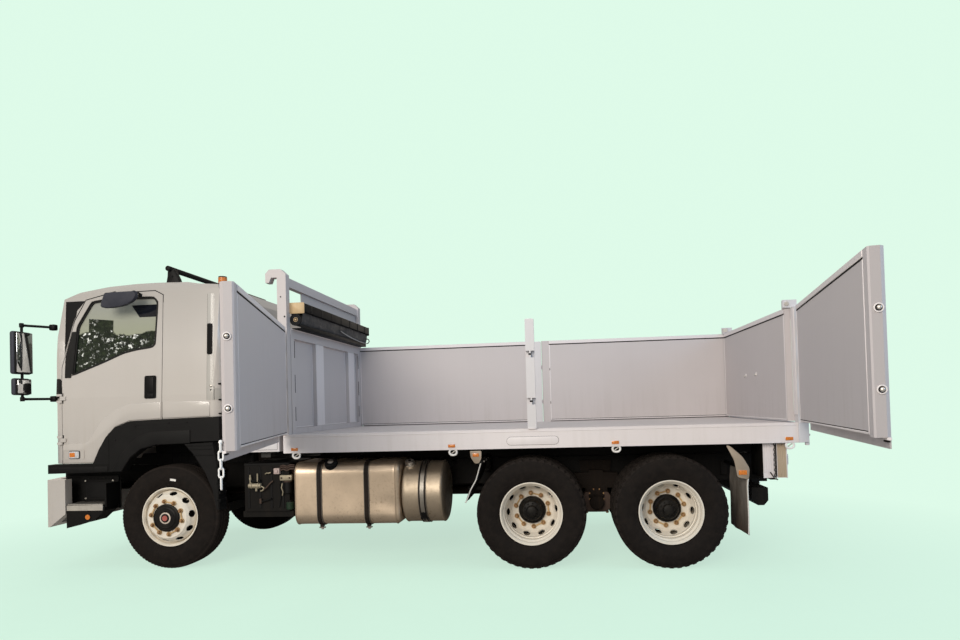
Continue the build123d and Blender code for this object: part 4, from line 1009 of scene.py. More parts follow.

# cab face: lamps, slats, wipers
p = Piece("cab_face", "cab", "black_plastic", black_plastic, gap_dark, clear_lens, amber, rubber_seal)
for z in range(1215, 1462, 82):
    p.box(-1303, -1297, -752, 752, z + 2, z + 44, 1, 0)
    p.box(-1316, -1298, -757, 757, z + 18, z + 27, 0, 3)
for y in (-380, 380):
    p.tube([(-1316, y, 1700), (-1320, y - 40, 1735), (-1316, y - 90, 1775)], 10, 0, 10)
    p.tube([(-1316, y - 90, 1775), (-1309, y - 220, 1880), (-1280, y - 340, 1975)], 7, 0, 8)
    p.tube([(-1302, y - 60, 1950), (-1295, y - 300, 1965), (-1285, y - 520, 1985)], 6, 4, 8)
    p.rod((-1312, y, 1700), (-1328, y, 1700), 20, 0, 20, edge=4)
p.finish(40)
p = Piece("head_lamps", "chassis", "lamp_clear", clear_lens, gap_dark, tread_metal, amber)
for p.side in (LEFT, RIGHT):
    for y, r in ((795, 62), (930, 58)):
        place = placed(-1352, p.side * y, 720, -90)
        p.lathe([(r, -2), (r, 6), (r - 5, 9), (r * 0.5, 13), (0, 15)], 0, 32, place)
        p.lathe([(r + 5, -2), (r + 5, 5), (r + 1, 7), (r + 1, -2)], 2, 32, place, closed=True)
    p.box(-1362, -1340, 1000, 1026, 660, 780, 3, 6, rounds=2)
    p.box(-1354, -1346, 694, 1030, 642, 798, 1, 2)
p.finish(40)

# ---------------------------------------------------------------- side gates
LATCH_Z = (1593.0, 2042.0)
STRAP_Z = (1500.0, 1860.0, 2220.0)
for (where, side), place in GATES.items():
    label = where + "_" + SIDE_NAME[side]
    s0, s1 = GATE_START[where], GATE_END[where]
    p = Piece("gate_fittings_" + label, "gate_" + label, "body_paint", panel_paint, gap_dark, bright_bolt, body_paint)
    # top rail, dark slot and the beads round the sheet, on the load side
    p.box(s0 + 3, s1 - 97, 98, 106, 2343, 2384, 3, 3)
    p.box(s0 + 3, s1 - 97, 98.5, 101, 2331, 2343, 1, 0)
    p.box(s0 + 4, s0 + 16, 98, 103, 1346, 2331, 3, 2)
    p.box(s1 - 110, s1 - 97, 98, 103, 1346, 2331, 3, 2)
    p.box(s0 + 4, s1 - 97, 98, 103, 1344, 1356, 3, 2)
    p.box(s0 + 4, s1 - 97, 98.5, 101, 1356, 1362, 1, 0)
    # latch studs in their rings, with a dark disc in each ring's recess that paints its shade
    for z in LATCH_Z:
        at = placed(s1, 55, z, 90)
        p.lathe([(19, 1), (19, 7), (22, 9), (26, 8), (27, 5), (27, 1)], 3, 32, at, closed=True)
        p.lathe([(19.5, 3.2), (12, 3.4)], 1, 32, at, caps=False)
        p.lathe([(12.6, 2), (12.6, 19), (10, 22), (5, 23.5), (0, 24)], 2, 24, at)
    # foot lip under the end post
    p.prism([(14, 1331), (38, 1331), (38, 1316), (20, 1312), (14, 1316)], "x", s1 - 92, s1 - 4, 3, 2)
    p.box(s1 - 86, s1 - 12, 22, 36, 1303, 1313, 1, 1)
    # outer face: stiffening ribs, strap bolts and the pins' caps
    for i in range(5):
        s = s0 + 330 + 420 * i
        if s < s1 - 160:
            p.box(s, s + 60, 6, 12.5, 1372, 2352, 0, 5)
    p.box(s0 + 8, s1 - 97, 4, 12.5, 2340, 2384, 3, 3)
    for z in STRAP_Z:
        for s in (130, 180, 230):
            p.bolt((s, -1.5, z), (0, -1, 0), 17, 2)
        for dz in (-75, 75):
            p.rod((0, 0, z + dz - 3), (0, 0, z + dz + 3), 15, 2, 20, edge=2)
    # grab handle near the latch end
    p.tube([(s1 - 150, 13, 1700), (s1 - 150, -8, 1706), (s1 - 150, -8, 1826), (s1 - 150, 13, 1832)], 7, 2, 10)
    # two small pulls on the load side
    if side == RIGHT:
        for z in (1579, 2013):
            p.box(s1 - 104, s1 - 98, 102, 106, z - 16, z + 16, 1, 1)
    p.finish(40, place)

# chain on the left front gate's free bottom corner
chain_white = weathered("chain_white", (0.9, 0.89, 0.88), 0.4, (0.5, 0.45, 0.4), 0.2, low=0.6, high=1.2)
p = Piece("gate_chain", "gate_front_left", "zinc_steel", chain_white, bright_bolt)
p.box(2424, 2447, -4, 12.5, 1372, 1400, 0, 3)
p.rod((2438, -8, 1386), (2438, 16, 1386), 6, 1, 12)
for z, across in ((1357, (1, 0, 0)), (1303, (0, 1, 0)), (1250, (1, 0, 0)), (1197, (0, 1, 0))):
    p.link((2438, 4, z), (0, 0, 1), across, 72, 38, 5.6, 0)
p.link((2438, 4, 1134), (0, 0, 1), (1, 0, 0), 90, 26, 5.6, 0)
p.finish(60, GATES["front", LEFT])

# ---------------------------------------------------------------- tray fittings
lens_base = moulded("lens_base", (0.78, 0.74, 0.7), 0.5, (0.4, 0.35, 0.3), 0.4)
p = Piece("marker_lamps", "tray", "lamp_amber", amber, lens_base, red_lens)
ring_white = weathered("ring_white", (0.88, 0.86, 0.84), 0.4, (0.45, 0.4, 0.35), 0.3, low=0.8, high=1.5)
q = Piece("tie_rings", "tray", "body_paint", ring_white, bright_bolt)
for side in (LEFT, RIGHT):
    p.side = q.side = side
    for x in (1365, 2934, 4487, 6052):
        p.box(x - 46, x + 26, 1198, 1203, 1168, 1202, 1, 2)
        p.box(x - 44, x + 24, 1201, 1212, 1170, 1200, 0, 4, rounds=2)
        p.box(x - 43, x + 23, 1211, 1213.5, 1184, 1186, 0, 0.8)
        loop = slot_shape(x - 36, x + 36, 1096, 1152)
        q.tube([(u, 1186, z) for u, z in loop], 10, 0, 12, closed=True)
        q.box(x - 24, x + 24, 1178, 1194, 1143, 1152, 0, 2)
        q.rod((x - 16, 1182, 1112), (x + 18, 1182, 1136), 5, 1, 10)
p.finish(40)
q.finish(60)

p = Piece("side_rail_details", "tray", "body_paint", body_paint, gap_dark)
for p.side in (LEFT, RIGHT):
    pad = slot_shape(3457, 3951, 1180, 1257)
    on_side(p, pad, 6.0, 0, None, 8.0, 3.0, RAIL_FACE)
    on_side(p, grown(pad, 2.2), 0.8, 1, pad, 2.0, 0.0, RAIL_FACE)
    p.box(1240, 6176, 1198, 1203.5, 1303, 1312, 0, 2.5)
    p.box(1240, 6176, 1150, 1201.5, 1146.5, 1151, 0, 1.2)
    # pockets and feet of the posts
    for x0, x1, z in ((1206, 1306, 1339), (3666, 3740, 1341), (6126, 6219, 1339)):
        p.box(x0, x1, 1196, 1222, 1331, z, 0, 3)
    for z in LATCH_Z:
        p.box(3689, 3717, 1196, 1219, z - 8, z + 8, 1, 2)
    p.box(3668, 3738, 1148, 1212, 2376, 2381, 0, 2)
    # weld beads where posts meet the rail
    for x in (1213, 3661, 6124):
        p.tube([(x + 4, 1217, 1331), (x + 44, 1218, 1332), (x + 82, 1217, 1331)], 4, 0, 8)
p.finish(40)

p = Piece("headboard_details", "tray", "body_paint", panel_paint, gap_dark, body_paint, bright_bolt)
for z0, z1 in ((2100, 2271), (1748, 1930), (1463, 1605)):
    for y0 in (1046, -1056):
        p.box(1311, 1313.5, y0, y0 + 10, z0, z1, 1, 0)
for y0, y1 in ((-1046, -472), (-228, 638), (882, 1048)):
    p.box(1268, 1274, y0, y0 + 12, 1394, 2292, 2, 2)
    p.box(1268, 1274, y1 - 12, y1, 1394, 2292, 2, 2)
    p.box(1268, 1274, y0, y1, 1392, 1402, 2, 2)
for y0, y1 in ((-470, -230), (640, 880)):
    p.box(1311, 1315, y0 + 6, y1 - 6, 1398, 2288, 2, 2)
p.box(1240, 1317, -1126, 1126, 2384, 2394, 2, 3)
for p.side in (LEFT, RIGHT):
    for x, z, r in ((1287, 2502, 9), (1250, 2700, 7)):
        p.rod((x, 1214, z), (x, 1217.5, z), r, 1, 20)
    # hook's edge bead and the rail's end plates
    p.box(1222, 1296, 1126, 1134, 2800, 2916, 2, 3)
    for z in (2830, 2890):
        p.bolt((1259, 1126, z), (0, -1, 0), 18, 3)
for y in range(-1100, 1061, 720):
    p.box(1220, 1246, y, y + 40, 1340, 2380, 2, 4)
p.box(1252, 1256, -716, -700, 2390, 2812, 2, 2)
p.finish(40)

p = Piece("tailgate_details", "tailgate", "body_paint", panel_paint, gap_dark, bright_bolt, body_paint)
p.box(6059, 6065, -1112, 1112, 2340, 2382, 3, 3)
p.box(6061, 6065, -1112, 1112, 2328, 2340, 1, 0)
for y0, y1 in ((-1112, -1098), (1098, 1112)):
    p.box(6060, 6065, y0, y1, 1352, 2328, 3, 2)
p.box(6060, 6065, -1112, 1112, 1350, 1362, 3, 2)
for y in (192, -192):
    p.lathe([(22, 0), (22, 4), (20, 5)], 3, 24, placed(6064, y, 1817, -90))
    p.tube([(6060, y - 14, 1817), (6050, y - 12, 1806), (6048, y, 1800), (6050, y + 12, 1806), (6060, y + 14, 1817)],
           4, 2, 8)
for y in (-840, -280, 280, 840):
    p.box(6117, 6123, y - 200, y + 200, 1480, 2250, 0, 5)
for y in (-1060, 1060):
    p.box(6150, 6172, y - 30, y + 30, 1390, 1480, 3, 6)
    p.rod((6160, y, 1350), (6160, y, 1500), 12, 2, 16, edge=2)
    p.tube([(6166, y, 1500), (6185, y, 1520), (6185, y, 1580), (6166, y, 1600)], 8, 2, 10)
for p.side in (LEFT, RIGHT):
    p.rod((6080, 1104, 2425), (6080, 1098, 2425), 24, 2, 24, edge=2)
p.finish(40)

p = Piece("rear_post_details", "tray", "body_paint", body_paint, bright_bolt, gap_dark)
for p.side in (LEFT, RIGHT):
    p.rod((6080, 1151, 2425), (6080, 1160, 2425), 21, 1, 24, edge=2)
    p.box(6114, 6125, 1136, 1210, 1400, 2380, 0, 3)
    p.box(6128, 6209, 1134, 1212, 2390, 2396, 0, 2)
    p.box(6180, 6222, 1150, 1196, 1180, 1250, 0, 6)
    p.box(6190, 6226, 1160, 1186, 1120, 1180, 0, 5)
    p.bolt((6226, 1173, 1215), (1, 0, 0), 16, 1)
p.finish(40)

# ---------------------------------------------------------------- tarpaulin roll
s = Shader("tarp_cloth", (0.012, 0.0125, 0.015), 0.5)
s.set("Specular IOR Level", 0.12)
s.set("Sheen Weight", 0.15)
weave = s.noise(1.0, 3.0, 0.6, s.stretch(260.0, 260.0, 900.0))
s.paint(s.mix(s.span(s.noise(5.0, 6.0, 0.65), 0.45, 0.75), (0.0105, 0.011, 0.0135), (0.034, 0.034, 0.038)))
s.roughness(s.span(s.noise(16.0, 5.0), 0.3, 0.7, 0.35, 0.7))
s.bump(weave, 0.3, 0.0008)
tarp = s.material
tan_plate = weathered("tan_plate", (0.62, 0.44, 0.24), 0.5, (0.3, 0.2, 0.1), 0.6, low=2.3, high=2.8)
s = Shader("rope_grey", (0.45, 0.43, 0.42), 0.85)
strands = s.span(s.noise(90.0, 4.0), 0.35, 0.7)
s.paint(s.mix(strands, (0.3, 0.29, 0.28), (0.58, 0.56, 0.54)))
s.bump(s.noise(400.0, 2.0), 0.4, 0.001)
rope_grey = s.material


def wavy(t, seed):
    return (math.sin(t * 5.1 + seed) + 0.6 * math.sin(t * 11.7 + 1.7 * seed)
            + 0.4 * math.sin(t * 23.0 + 2.9 * seed)) / 2


# the cloth: its turns on the roll, then the free edge that stands up behind it
TURNS, PER_TURN, COLUMNS = 9, 40, 72
STEPS = TURNS * PER_TURN
ROLL_X, ROLL_Z, CORE, GROWTH = 1362, 2480, 33.0, 25.0
CLOTH_Y, CLOTH_WIDTH, EDGE_RISE = -1112, 2206, 74
p = Piece("tarp_cloth", "tray", "tarp_cloth", tarp)
b = bmesh.new()
rows = []
for i in range(STEPS + 1):
    a = 2 * math.pi * i / PER_TURN
    r = CORE + GROWTH * i / STEPS
    outer = max(0.0, (i / PER_TURN - TURNS + 2) / 2)
    row = []
    for j in range(COLUMNS + 1):
        t = j / COLUMNS
        dent = 2.6 * wavy(6 * t + 1.3 * math.cos(a), 2.0 + math.sin(2 * a)) + 1.2 * wavy(19 * t, 4.0 + math.sin(a))
        reach = r + outer * dent
        row.append(b.verts.new((ROLL_X + reach * math.cos(a), CLOTH_Y + CLOTH_WIDTH * t, ROLL_Z + reach * math.sin(a))))
    rows.append(row)
EDGE_ROWS = 14
for i in range(1, EDGE_ROWS + 1):
    w = i / EDGE_ROWS
    row = []
    for j in range(COLUMNS + 1):
        t = j / COLUMNS
        x = 1420 + 9 * math.sin(2.2 * w) + 2.6 * w * wavy(26 * t, 1.0 + w)
        z = ROLL_Z + EDGE_RISE * w + 1.5 * w * wavy(9 * t, 5.0)
        row.append(b.verts.new((x, CLOTH_Y + CLOTH_WIDTH * t, z)))
    rows.append(row)
span_rows(b, rows)
p.absorb(b)
cloth = p.finish(180)
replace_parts(cloth, "tarp_roll")

p = Piece("tarp_box", "tray", "black_plastic", tarp, tan_plate, black_plastic, gap_dark)
# box: a folded black channel with a rolled lip, and its end plates
channel = [(1314, 2530), (1314, 2642), (1322, 2648), (1444, 2648), (1453, 2640), (1453, 2560), (1447, 2556),
           (1441, 2560), (1441, 2632), (1436, 2637), (1330, 2637), (1325, 2632), (1325, 2530)]
p.prism(channel, "y", -1120, 1100, 2, 1.5)
for y in (-1134, 1098):
    p.prism(rounded(rect(1292, 1456, 2540, 2650), 10), "y", y, y + 10, 1 if y < 0 else 2, 1.5)
for y in range(-930, 931, 310):
    p.box(1444, 1456, y - 14, y + 14, 2560, 2640, 2, 3)
p.rod((ROLL_X, -1132, ROLL_Z), (ROLL_X, -1122, ROLL_Z), 9, 1, 16, edge=2)
turn = placed(ROLL_X, 0, ROLL_Z, 90, "X")
p.lathe([(62, 1116), (62, 1124), (58, 1126), (0, 1126)], 3, 40, turn)
for r in (55, 44, 33, 22):
    p.lathe([(r, 1125), (r, 1128), (r - 4, 1128), (r - 4, 1125)], 1 if r == 22 else 0, 40, turn, closed=True)
# black valance under the roll
p.box(1408, 1413, -1116, 1096, 2392, 2432, 2, 1)
p.box(1300, 1412, -1116, 1096, 2392, 2396, 2, 1)
p.prism([(1300, 2402), (1392, 2402), (1400, 2470), (1386, 2540), (1300, 2540)], "y", 1092, 1100, 2, 1.5)
p.rod((ROLL_X, -1120, ROLL_Z), (ROLL_X, 1100, ROLL_Z), 30, 3, 24)
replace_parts(p.finish(50), "tarp_roll")

p = Piece("tarp_crank", "tray", "zinc_steel", rope_grey, bright_bolt, black_plastic)
p.tube([(1424 + u, 1106, 2468 + v) for u, v in around(24, 30)], 6, 2, 10, closed=True)
p.rod((1424, 1098, 2492), (1424, 1116, 2504), 6, 1, 10)
p.finish(60)

# pull rope lying along the roll, tied off at the ring
curve = bpy.data.curves.new("tarp_rope", "CURVE")
curve.dimensions = "3D"
curve.bevel_depth = 0.005
curve.bevel_resolution = 4
spline = curve.splines.new("NURBS")
route = [(1424, 1100, 2440), (1428, 1060, 2432), (1430, 940, 2430), (1429, 760, 2432), (1430, 560, 2440),
         (1431, 380, 2450), (1431, 240, 2462), (1430, 120, 2476), (1429, 40, 2488)]
spline.points.add(len(route) - 1)
for point, co in zip(spline.points, route):
    point.co = (*(TO_FRAME @ Vector(co)), 1.0)
spline.order_u = 3
spline.use_endpoint_u = True
rope = bpy.data.objects.new("tarp_rope", curve)
bpy.context.scene.collection.objects.link(rope)
curve.materials.append(rope_grey)
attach(rope, "tray")

# ---------------------------------------------------------------- tanks
def round_box(y0, y1, z0, z1, r, steps=7):
    """A box outline with arcs of radius r at its corners."""
    points = []
    for cy, cz, start in ((y1 - r, z1 - r, 0), (y0 + r, z1 - r, 90), (y0 + r, z0 + r, 180), (y1 - r, z0 + r, 270)):
        for k in range(steps + 1):
            a = math.radians(start + 90 * k / steps)
            points.append((cy + r * math.cos(a), cz + r * math.sin(a)))
    return points


def divided(outline, longest):
    """The outline with its long sides cut into shorter ones."""
    points = []
    for i, a in enumerate(outline):
        b = outline[(i + 1) % len(outline)]
        parts = max(1, math.ceil(math.dist(a, b) / longest))
        points += [(a[0] + (b[0] - a[0]) * k / parts, a[1] + (b[1] - a[1]) * k / parts) for k in range(parts)]
    return points


def ring_prism(piece, outer, inner, low, high, m=0):
    """A band: the space between two (y, z) outlines of equally many points, carried along x."""
    b = bmesh.new()
    loops = [[b.verts.new((x, y, z)) for y, z in line] for line, x in
             ((outer, low), (outer, high), (inner, high), (inner, low))]
    span_loops(b, loops + loops[:1])
    piece.close(b, m)


def skin(piece, rings):
    """A closed surface through rings of equally many points."""
    b = bmesh.new()
    made = [[b.verts.new(p) for p in ring] for ring in rings]
    span_loops(b, made)
    b.faces.new(list(reversed(made[0])))
    b.faces.new(made[-1])
    piece.close(b)


def ripple(a, b, seed):
    return (math.sin(a * 1.0 + seed) * math.cos(b * 1.3 + 2 * seed) + 0.6 * math.sin(a * 2.3 + b * 1.9 + seed)
            + 0.35 * math.cos(a * 4.7 - b * 3.1 + 3 * seed)) / 1.95


def bump_at(x, z, x0, z0, rx, rz):
    return math.exp(-((x - x0) / rx) ** 2 - ((z - z0) / rz) ** 2)


def brushed(name, color, rough, stain):
    """Brushed alloy: fine lines round the tank, soft cloudy stains and spatter low down."""
    s = Shader(name, color, rough, 0.92)
    lines = s.noise(1.0, 5.0, 0.7, s.stretch(160.0, 5.0, 5.0))
    clouds = s.noise(2.6, 5.0, 0.6)
    spatter = s.noise(38.0, 5.0, 0.65)
    low = s.span(s.axes()[2], 0.45, 0.95, 1.0, 0.15)
    marks = s.times(s.span(spatter, 0.52, 0.68), s.times(low, s.span(clouds, 0.4, 0.62)))
    base = s.mix(s.span(clouds, 0.35, 0.75), tuple(min(1.0, c * 1.08) for c in color), tuple(c * 0.84 for c in color))
    s.paint(s.mix(s.times(marks, 0.75), base, stain))
    s.roughness(s.plus(s.span(lines, 0.3, 0.7, rough - 0.05, rough + 0.1), s.times(marks, 0.3)))
    s.bump(lines, 0.12, 0.0004)
    s.bump(s.noise(60.0, 3.0), 0.08, 0.0006)
    return s.material


tank_alloy = brushed("tank_alloy", (0.56, 0.46, 0.355), 0.37, (0.2, 0.14, 0.09))
drum_alloy = brushed("drum_alloy", (0.45, 0.38, 0.295), 0.42, (0.2, 0.14, 0.09))
strap_dark = weathered("strap_dark", (0.011, 0.0075, 0.006), 0.5, (0.06, 0.038, 0.024), 0.5, low=0.3, high=1.0,
                       fade=0.2, gloss=0.2)
strap_steel = plain_metal("strap_steel", (0.34, 0.32, 0.29), 0.35)
RAIL_SIDE = 425.0

p = Piece("fuel_tank_shell", "chassis", "tank_metal", tank_alloy, strap_dark, strap_steel, black_plastic, bright_bolt)
X0, X1, Y0, Y1, Z0, Z1, TANK_R = 1316.0, 2392.0, -1150.0, -480.0, 422.0, 1047.0, 110.0
stations = [(X0, 26), (X0 + 2, 14), (X0 + 8, 5), (X0 + 16, 1), (X0 + 22, 0)]
stations += [(X0 + 22 + (X1 - X0 - 76) * i / 40, 0) for i in range(1, 40)]
stations += [(X1 - 52, 0), (X1 - 46, 2), (X1 - 34, 6), (X1 - 20, 14), (X1 - 8, 28), (X1 - 1, 48), (X1, 62)]
rings = []
section = divided(round_box(Y0, Y1, Z0, Z1, TANK_R, 9), 42)
for x, inset in stations:
    ring = []
    for y, z in section:
        core = (min(max(y, Y0 + TANK_R), Y1 - TANK_R), min(max(z, Z0 + TANK_R), Z1 - TANK_R))
        y, z = y + (core[0] - y) * inset / TANK_R, z + (core[1] - z) * inset / TANK_R
        inward = Vector((0, (Y0 + Y1) / 2 - y, (Z0 + Z1) / 2 - z)).normalized()
        free = min(1.0, min(x - X0, X1 - x) / 90)
        sunk = free * (1.5 + 2.4 * (0.5 + 0.5 * ripple(x / 170, (y + z) / 190, 1.3)))
        if y < Y0 + 260:
            sunk += 13 * bump_at(x, z, 2330, 560, 70, 90) * (0.75 + 0.25 * math.sin(x / 9 + z / 14))
            sunk += 6 * bump_at(x, z, 2240, 640, 130, 60) + 5 * bump_at(x, z, 1860, 760, 90, 180)
            sunk += 4 * bump_at(x, z, 1400, 520, 60, 60)
        ring.append((x, y + inward.y * sunk, z + inward.z * sunk))
    rings.append(ring)
skin(p, rings)
full = round_box(Y0, Y1, Z0, Z1, TANK_R, 9)
for x in (X0 + 14, X1 - 50):
    p.tube([(x, y, z) for y, z in full], 4.5, 0, 8, closed=True)
for x in (1550, 2030):
    ring_prism(p, grown(full, 6), grown(full, -6), x, x + 52, 1)
    for edge in (x + 1.5, x + 50.5):
        p.tube([(edge, y, z) for y, z in grown(full, 6)], 2.6, 2, 6, closed=True)
    ring_prism(p, grown(full, 8.5), grown(full, 5), x + 20, x + 32, 1)
    p.box(x, x + 52, Y1, -RAIL_SIDE, 760, 900, 1, 4)
    # tensioner under the front edge
    p.box(x + 6, x + 46, -1096, -1060, 404, 426, 1, 4)
    p.rod((x + 26, -1078, 382), (x + 26, -1078, 430), 8, 2, 14)
    p.box(x - 6, x + 58, -1092, -1066, 388, 400, 2, 4)
    p.bolt((x + 26, -1078, 388), (0, 0, -1), 22, 4)
cap = placed(1690, -1086, 1002, 40, "X") @ placed(0, 0, -1046)
p.lathe([(66, 1040), (66, 1072), (62, 1077), (56, 1078), (56, 1090), (60, 1092), (60, 1106), (54, 1112), (0, 1112)],
        3, 40, cap)
for i in range(10):
    turn = cap @ placed(0, 0, 0, 36 * i, "Z")
    p.box(56, 62.5, -6, 6, 1092, 1107, 3, 1.5, turn)
p.lathe([(30, 1110), (29, 1115), (22, 1118), (0, 1118)], 4, 24, cap)
p.lathe([(30, 1040), (30, 1056), (22, 1060), (0, 1060)], 3, 24, placed(1880, -780, 0))
p.tube([(1880, -780, 1058), (1880, -760, 1078), (1870, -700, 1082), (1862, -600, 1060), (1862, -470, 1020)], 8, 3, 10)
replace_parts(p.finish(40), "fuel_tank")

p = Piece("oil_tank_drum", "chassis", "tank_metal", drum_alloy, strap_dark, strap_steel, black_plastic, bright_bolt)
OY, OZ, OR, OX0, OX1 = -840.0, 715.0, 310.0, 2404.0, 2822.0
stations = [(OX0, 30), (OX0 + 1, 12), (OX0 + 6, 4), (OX0 + 14, 0), (OX0 + 20, 4)]
stations += [(OX0 + 20 + (OX1 - OX0 - 60) * i / 16, 4) for i in range(1, 16)]
stations += [(OX1 - 40, 4), (OX1 - 36, 0), (OX1 - 30, 2), (OX1 - 20, 12), (OX1 - 9, 32), (OX1 - 2, 60), (OX1, 90)]
rings = []
for x, inset in stations:
    ring = []
    for k in range(84):
        a = 2 * math.pi * k / 84
        free = min(1.0, min(x - OX0, OX1 - x) / 70)
        r = OR - inset - free * 2.2 * (0.5 + 0.5 * ripple(x / 110, 5 * a, 0.6))
        r -= 7 * bump_at(x, math.degrees(a), 2750, 215, 22, 16)
        ring.append((x, OY + r * math.cos(a), OZ + r * math.sin(a)))
    rings.append(ring)
skin(p, rings)


def circle(r):
    return [(OY + u, OZ + v) for u, v in around(64, r)]


ring_prism(p, circle(OR + 4), circle(OR - 8), 2569, 2645, 1)
ring_prism(p, circle(OR + 6.5), circle(OR), 2588, 2626, 2)
for edge in (2570.5, 2643.5):
    p.tube([(edge, y, z) for y, z in circle(OR + 4)], 2.6, 2, 6, closed=True)
p.box(2569, 2645, OY + OR - 30, -RAIL_SIDE, 740, 900, 1, 4)
low = placed(2607, OY, OZ, 40, "X") @ placed(0, -OR, 0)
p.box(-26, 26, -6.5, 4, -52, 30, 3, 4, low)
p.box(-40, 40, -6.8, 4, -70, -50, 3, 4, low)
p.rod(low @ Vector((0, -2, -92)), low @ Vector((0, -2, 34)), 7, 3, 14, edge=2)
cap = placed(2458, -971, 996, 25, "X") @ placed(0, 0, -1036)
p.lathe([(52, 1020), (52, 1048), (46, 1053), (40, 1054), (40, 1064), (45, 1066), (45, 1076), (38, 1080), (0, 1080)],
        4, 36, cap)
p.lathe([(15, 1078), (15, 1083), (10, 1085), (0, 1085)], 3, 20, cap)
p.tube([(2740, -840, 1016), (2752, -800, 1042), (2790, -700, 1036), (2830, -560, 990), (2836, -440, 950)], 12, 3, 12)
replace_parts(p.finish(40), "oil_tank")

# ---------------------------------------------------------------- mudflaps
def hanging(piece, line, y0, y1, thick, m, wave, seed):
    """A flap that follows a line of (x, z) down and waves a little across."""
    down, across = 24, 18
    b = bmesh.new()
    front, back = [], []
    for i in range(down + 1):
        t = i / down
        k = min(int(t * (len(line) - 1)), len(line) - 2)
        f = t * (len(line) - 1) - k
        f = f * f * (3 - 2 * f) * 0.4 + f * 0.6
        x = line[k][0] + (line[k + 1][0] - line[k][0]) * f
        z = line[k][1] + (line[k + 1][1] - line[k][1]) * f
        ra, rb = [], []
        for j in range(across + 1):
            u = j / across
            y = piece.side * (y0 + (y1 - y0) * u)
            dx = wave * t * ripple(3.4 * u, 2.2 * t, seed)
            ra.append(b.verts.new((x + dx, y, z)))
            rb.append(b.verts.new((x + dx + thick, y, z)))
        front.append(ra)
        back.append(rb)
    span_rows(b, front)
    span_rows(b, back, flip=True)
    for i in range(down):
        for j in (0, across):
            b.faces.new((front[i][j], front[i + 1][j], back[i + 1][j], back[i][j]))
    for j in range(across):
        for i in (0, down):
            b.faces.new((front[i][j], back[i][j], back[i][j + 1], front[i][j + 1]))
    piece.close(b, m)


s = Shader("flap_grey", (0.17, 0.14, 0.115), 0.6)
flap_tone = s.mix(s.span(s.noise(1.0, 5.0, 0.6, s.stretch(8.0, 8.0, 2.2)), 0.35, 0.7), (0.17, 0.145, 0.12),
                  (0.38, 0.34, 0.30))
s.paint(s.mix(s.span(s.axes()[2], 0.30, 0.72), (0.085, 0.056, 0.042), flap_tone))
s.roughness(s.span(s.noise(9.0, 5.0), 0.3, 0.7, 0.5, 0.85))
s.bump(s.cells(300.0), 0.2, 0.0006)
flap_grey = s.material
flap_edge = moulded("flap_edge", (0.72, 0.70, 0.66), 0.45, (0.4, 0.36, 0.3), 0.4)
bracket_tan = weathered("bracket_tan", (0.33, 0.265, 0.20), 0.5, (0.16, 0.12, 0.09), 0.5, low=0.8, high=1.2)
for side, label in SIDE_NAME.items():
    p = Piece("mudflap_set_" + label, "chassis", "rubber_flap", flap_grey, flap_edge, bracket_tan, chassis_paint, amber,
              bright_bolt, flap_rubber, side=side)
    hanging(p, [(3199, 1015), (3150, 857), (3092, 760), (3050, 648)], 1218, 628, 8, 6, 9, 0.7)
    edge = [(3203, 1219, 1015), (3178, 1220, 935), (3154, 1220, 857), (3124, 1220, 806),
            (3098, 1220, 760), (3074, 1219, 700), (3054, 1218, 652), (3044, 1216, 640)]
    p.tube(edge, 6, 1, 8)
    p.box(3150, 3225, 1226, 470, 1014, 1038, 3, 4)
    p.box(3150, 3225, 490, 470, 900, 1014, 3, 3)
    p.box(3150, 3225, 490, RAIL_SIDE, 860, 900, 3, 3)
    plate = rounded([(3102, 1135), (3215, 1135), (3212, 1060), (3188, 1015), (3148, 1015), (3112, 1070)], 14, 3)
    p.prism(plate, "y", 1226, 1235, 2, 2)
    p.box(3130, 3190, 1235, 1243, 1080, 1112, 4, 4, rounds=2)
    hanging(p, [(5655, 902), (5645, 760), (5648, 560), (5644, 312)], 1216, 628, 9, 0, 16, 2.1)
    p.tube([(5668, 1217, 880), (5656, 1218, 760), (5656, 1218, 620), (5657, 1218, 480), (5652, 1217, 316)], 6, 1, 8)
    p.box(5640, 5676, 1226, 445, 900, 930, 3, 4)
    p.box(5600, 5676, 445, RAIL_SIDE, 780, 930, 3, 4)
    plate = rounded([(5472, 1141), (5515, 1127), (5618, 1028), (5676, 924), (5666, 822), (5567, 843),
                     (5542, 998)], 22, 3)
    p.prism(plate, "y", 1226, 1235, 2, 2)
    p.box(5576, 5650, 1235, 1244, 866, 908, 4, 5, rounds=2)
    p.box(5572, 5654, 1233, 1237, 862, 912, 2, 2)
    for y in (1150, 950, 750):
        p.bolt((3224, y, 1026), (1, 0, 0), 14, 5, False)
        p.box(5664, 5672, y - 60, y + 60, 862, 900, 3, 2)
        p.bolt((5672, y, 880), (1, 0, 0), 14, 5, False)
    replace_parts(p.finish(45), "mudflaps")

